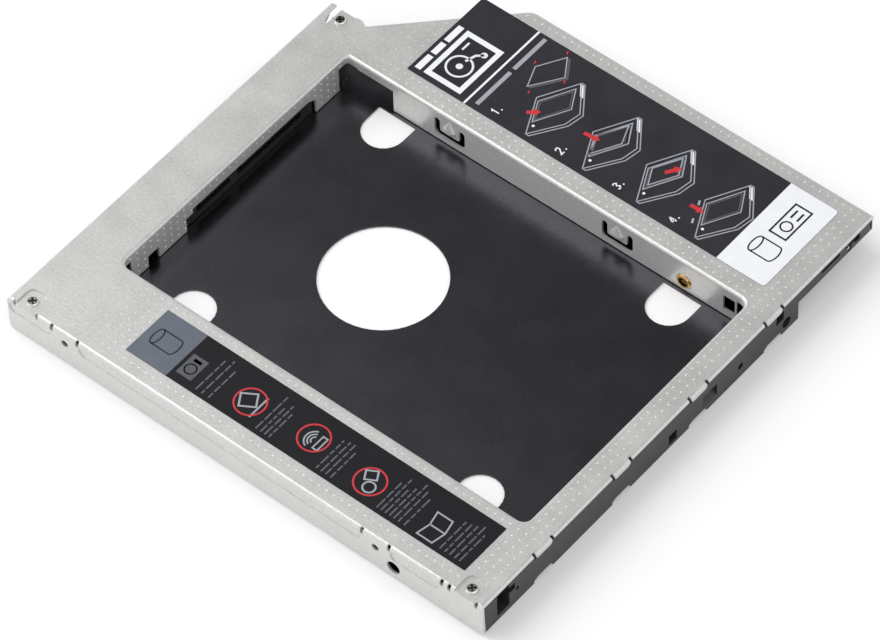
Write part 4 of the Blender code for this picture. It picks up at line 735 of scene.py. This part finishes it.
headSettings = {  # a drive seen from above, bright on dark in a white frame, below a row of bars
    "frame": (100.1, 88.0, 114.9, 98.0),  # left, low, right and high side
    "ground": (101.4, 89.2, 113.6, 96.8),
    "disc": (106.0, 93.0, 2.9),  # middle and radius
    "hub": (106.0, 93.0, 0.8),
    "arm": ((111.6, 90.8), (110.4, 92.2), (107.9, 92.9)),
    "armStroke": 0.6,
    "pivot": (111.6, 90.8, 0.8),
    "mark": ((110.0, 95.5), (112.4, 95.5)),
    "stroke": 0.5,
    "barSpans": ((100.1, 104.6), (105.4, 109.0), (109.8, 114.9)),
    "barRise": (98.9, 100.4),
}


def headPrints(settings):
    prints = [("white", printedPatch(oblong(*settings["frame"]))),
              ("black", printedPatch(oblong(*settings["ground"]))),
              ("bright", printedBand(rim(*settings["disc"]), settings["stroke"], True)),
              ("bright", printedPatch(rim(*settings["hub"], count=16))),
              ("bright", printedBand(settings["arm"], settings["armStroke"])),
              ("bright", printedPatch(rim(*settings["pivot"], count=16))),
              ("bright", printedBand(settings["mark"], settings["stroke"]))]
    low, high = settings["barRise"]
    bars = [oblong(start, low, end, high) for start, end in settings["barSpans"]]
    return prints + [("white", printedPatch(bar)) for bar in bars]


wingSettings = {
    "frontRadius": 0.82,  # of the film's two front corners
    "fieldRadius": 0.8,  # of the white field's
    "fieldRear": 18.7,
    "jar": (104.5, 9.0, 4.5, 6.6),  # left and low side, width and height
    "jarStroke": 0.36,
    "drive": (111.2, 10.3, 120.2, 14.5),  # left, low, right and high side
    "driveStroke": 0.45,
    "disc": (114.2, 12.4, 1.3),  # middle and radius
    "discStroke": 0.4,
    "rowSpan": (116.6, 119.0),
    "rowRise": ((11.3, 11.8), (12.9, 13.4)),
    "line": 85.85,  # white, right across
    "lineStroke": 0.5,
    "titles": ((100.2, 83.0, 111.4, 84.0), (112.6, 83.0, 123.2, 84.0)),
}


def wingPrints(settings):
    (left, front, _), (right, _, _) = boxOf("wing_label")
    margin, radius = printSettings["margin"], settings["fieldRadius"]
    left, right = left + margin, right - margin
    field = softOblong(left, front + margin, right, settings["fieldRear"], radius, margin)
    prints = [("white", printedPatch(field))]
    prints += [("black", printedBand(line, settings["jarStroke"], closed))
               for line, closed in jarShape(*settings["jar"])]
    prints.append(("black", printedBand(oblong(*settings["drive"]), settings["driveStroke"], True)))
    prints.append(("black", printedBand(rim(*settings["disc"]), settings["discStroke"], True)))
    start, end = settings["rowSpan"]
    prints += [("black", printedPatch(oblong(start, low, end, high))) for low, high in settings["rowRise"]]
    level = settings["line"]
    prints.append(("white", printedBand([(left, level), (right, level)], settings["lineStroke"])))
    prints += [("pale", printedPatch(oblong(*bar))) for bar in settings["titles"]]
    prints += headPrints(headSettings)
    for step in range(len(stepSettings["levels"])):
        prints += stepPrints(stepSettings, step)
    return prints


sideSettings = {
    "seed": 7,
    "panelFront": 87.1,  # where the grey panel at the rear begins
    "jar": (9.4, 89.4, 4.3, 6.6),  # left and low side, width and height
    "jarStroke": 0.36,
    "drive": (7.0, 82.2, 12.8, 86.2),  # left, low, right and high side
    "disc": (9.3, 84.2, 1.3),  # middle and radius
    "discStroke": 0.3,
    "driveMark": (11.2, 83.2, 12.0, 85.2),
    "emblems": ((10.5, 69.2), (11.5, 53.2), (10.1, 37.3)),  # three rings, each round a plain sign
    "emblemRadius": 3.45,
    "stroke": 0.4,
    "fineStroke": 0.34,
    "tile": (10.6, 69.8, 3.3, 3.6, 32),  # first sign: a tilted square over a line
    "tileStroke": 0.42,
    "tileLine": ((7.4, 66.9), (13.4, 66.9)),
    "arcs": (11.1, 52.6, (0.9, 1.6, 2.3), (20, 160)),  # second: arcs over a box
    "box": (9.4, 50.7, 12.9, 51.9),
    "ring": (8.9, 36.6, 1.35),  # third: a ring beside a square
    "square": (11.5, 38.1, 2.3, 2.6, 30),
    "folder": ((6.1, 21.9), (9.4, 21.2), (12.7, 21.9), (12.7, 18.0), (9.4, 17.3), (6.1, 18.0)),
    "folderBack": ((9.4, 21.2), (9.4, 17.5)),
    "folderStroke": 0.36,
    "rows": (80.0, 78.4, 76.6, 64.0, 62.7, 61.6, 60.5, 48.0, 46.7, 45.5, 44.2, 32.2, 31.1, 30.0, 28.9, 27.8,
             26.6, 25.1, 15.9, 14.6, 13.4, 12.1, 10.9),
    "rowSpan": (6.0, 16.8),
    "rowHeight": 0.36,
    "rowShare": (0.7, 1.0),  # of the span that a row fills
    "bar": (1.0, 2.8),
    "barGap": 0.45,
    "barLeast": 0.6,
}


def barRow(left, right, level, settings, rng):  # a row of plain bars of uneven width
    half = settings["rowHeight"] / 2
    bars = []
    while left < right - settings["barLeast"]:
        width = min(rng.uniform(*settings["bar"]), right - left)
        bars.append(oblong(left, level - half, left + width, level + half))
        left += width + settings["barGap"]
    return bars


def sidePrints(settings):
    (left, _, _), (right, rear, _) = boxOf("side_label")
    margin = printSettings["margin"]
    panel = oblong(left + margin, settings["panelFront"], right - margin, rear - margin)
    prints = [("grey", printedPatch(panel))]
    prints += [("black", printedBand(line, settings["jarStroke"], closed))
               for line, closed in jarShape(*settings["jar"])]
    prints.append(("dim", printedPatch(oblong(*settings["drive"]))))
    prints.append(("black", printedBand(rim(*settings["disc"]), settings["discStroke"], True)))
    prints.append(("black", printedPatch(oblong(*settings["driveMark"]))))
    stroke, fine, bold = settings["stroke"], settings["fineStroke"], settings["tileStroke"]
    prints += [("red", printedBand(rim(x, y, settings["emblemRadius"]), stroke, True))
               for x, y in settings["emblems"]]
    x, y, radii, (start, end) = settings["arcs"]
    prints.append(("pale", printedBand(tilted(*settings["tile"]), bold, True)))
    prints.append(("pale", printedBand(settings["tileLine"], bold)))
    prints += [("pale", printedBand(rim(x, y, radius, 1.0, start, end, 16), fine)) for radius in radii]
    prints.append(("pale", printedBand(oblong(*settings["box"]), fine, True)))
    prints.append(("pale", printedBand(rim(*settings["ring"]), stroke, True)))
    prints.append(("pale", printedBand(tilted(*settings["square"]), stroke, True)))
    prints.append(("pale", printedBand(settings["folderBack"], settings["folderStroke"])))
    prints.append(("pale", printedBand(settings["folder"], settings["folderStroke"], True)))
    rng = np.random.default_rng(settings["seed"])
    start, full = settings["rowSpan"]
    for level in settings["rows"]:
        end = rng.uniform(*settings["rowShare"]) * (full - start) + start
        prints += [("faint", printedPatch(bar)) for bar in barRow(start, end, level, settings, rng)]
    return prints


def joined(shapes):  # several shapes as one pair of arrays
    points, faces, shift = [], [], 0
    for shapePoints, shapeFaces in shapes:
        points.append(shapePoints)
        faces += [[index + shift for index in face] for face in shapeFaces]
        shift += len(shapePoints)
    return np.vstack(points), faces


def makeLabel(node, prints, frontRadius, finish, settings):  # a film that stands for the node, and its prints
    (left, front, low), (right, rear, _) = boxOf(node)
    points, faces = printedPatch(softOblong(left, front, right, rear, frontRadius, settings["cornerRadius"]))
    points[:, 2] = np.where(points[:, 2] > 0.5, settings["bodyTop"], low)
    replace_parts(makePiece(f"{node}_film", points, faces, finish, "dark_label"), node)
    for ink in dict.fromkeys(colour for colour, _ in prints):
        points, faces = joined([shape for colour, shape in prints if colour == ink])
        top = settings["bodyTop"] + settings["order"][ink] * settings["layer"]
        points[:, 2] = np.where(points[:, 2] > 0.5, top, settings["foot"])
        makePiece(f"{node}_{ink}_print", points, faces, f"{ink}_ink", "dark_label")


makeLabel("wing_label", wingPrints(wingSettings), wingSettings["frontRadius"], "dark_label", printSettings)
makeLabel("side_label", sidePrints(sideSettings), printSettings["cornerRadius"], "deep_label", printSettings)
print("labels printed")


# contacts in the drive's socket and on the host plug's tongues: thin sprung blades in even rows
contactSettings = {
    "pitch": 1.27,
    "width": 0.5,
    "thickness": 0.12,
    "rows": (  # node, start from its left, number, height above its foot, start and end behind its front
        ("drive_connector", 5.03, 7, 1.68, (0.15, 3.5)),
        ("drive_connector", 18.41, 15, 1.68, (0.15, 3.5)),
        ("host_connector", 5.0, 7, 2.8, (1.0, 4.8)),
        ("host_connector", 18.8, 6, 2.8, (1.0, 4.8)),
    ),
}


def makeContacts(settings):
    shapes = []
    for node, start, number, height, (front, rear) in settings["rows"]:
        low = boxOf(node)[0]
        for index in range(number):
            left = low[0] + start + index * settings["pitch"]
            blade = oblong(left, low[1] + front, left + settings["width"], low[1] + rear)
            points, faces = printedPatch(blade)
            points[:, 2] = low[2] + height + settings["thickness"] * (points[:, 2] - 0.5)
            shapes.append((points, faces))
    makePiece("contact_blades", *joined(shapes), "contact_gold", "brass")


makeContacts(contactSettings)
print("contacts in place")


# thread inside the brass bush
threadSettings = {
    "pitch": 0.5,
    "bore": 1.2,  # its radius
    "depth": 0.16,
    "sunk": 0.03,  # how far the ridge's foot lies inside the bore's wall
    "flank": 0.42,  # half the width of its foot, as a share of the pitch
    "steps": 24,  # a turn
}


def makeThread(settings):
    # ridge on a helix, p t / (2 pi) along the axis at turn t: three corners, the crest and two in the wall
    low, high = boxOf("threaded_bush")
    middle = (low + high) / 2
    pitch, flank = settings["pitch"], settings["flank"]
    foot, crest = settings["bore"] + settings["sunk"], settings["bore"] - settings["depth"]
    turns = (high[0] - low[0] - 2 * pitch) / pitch
    turn = np.linspace(0, 2 * math.pi * turns, int(turns * settings["steps"]))
    start = low[0] + pitch + pitch * turn / (2 * math.pi)
    rows = [np.column_stack([start + shift * pitch, middle[1] + radius * np.cos(turn),
                             middle[2] + radius * np.sin(turn)])
            for shift, radius in ((-flank, foot), (flank, foot), (0.0, crest))]
    points = np.stack(rows, 1).reshape(-1, 3)
    count = len(turn)
    faces = [[3 * i + k, 3 * i + (k + 1) % 3, 3 * i + 3 + (k + 1) % 3, 3 * i + 3 + k]
             for i in range(count - 1) for k in range(3)]
    faces += [[2, 1, 0], [3 * count - 3, 3 * count - 2, 3 * count - 1]]
    makePiece("bush_thread", points, faces, "brass")


mouthShadeSettings = {
    "clear": 1.7,  # distance from the axis where the brass begins to darken
    "dark": 1.45,  # and where it is darkest
    "share": 0.3,  # of its brightness that is left there
}


def paintMouthShade(settings):  # painted shade: the brass darkens near the bush's axis, where the mouth is countersunk
    low, high = boxOf("threaded_bush")
    middle = ((low + high) / 2 * mm + corner).tolist()
    tree = finishes["brass"].node_tree
    colour = tree.nodes["Principled BSDF"].inputs["Base Color"]
    place = addNode(tree, "ShaderNodeTexCoord").outputs["Object"]
    centred = addNode(tree, "ShaderNodeVectorMath", {0: place, 1: middle}, operation="SUBTRACT")
    flat = addNode(tree, "ShaderNodeVectorMath", {
        0: centred.outputs[0], 1: (0.0, 1.0, 1.0)}, operation="MULTIPLY")
    out = addNode(tree, "ShaderNodeVectorMath", {0: flat.outputs[0]}, operation="LENGTH").outputs["Value"]
    share = addNode(tree, "ShaderNodeMapRange", {
        "Value": out, "From Min": settings["dark"] * mm, "From Max": settings["clear"] * mm,
        "To Min": settings["share"], "To Max": 1.0})
    shaded = addNode(tree, "ShaderNodeVectorMath", {
        0: colour.links[0].from_socket, "Scale": share.outputs[0]}, operation="SCALE")
    tree.links.new(shaded.outputs[0], colour)


makeThread(threadSettings)
paintMouthShade(mouthShadeSettings)
print("thread in the bush")
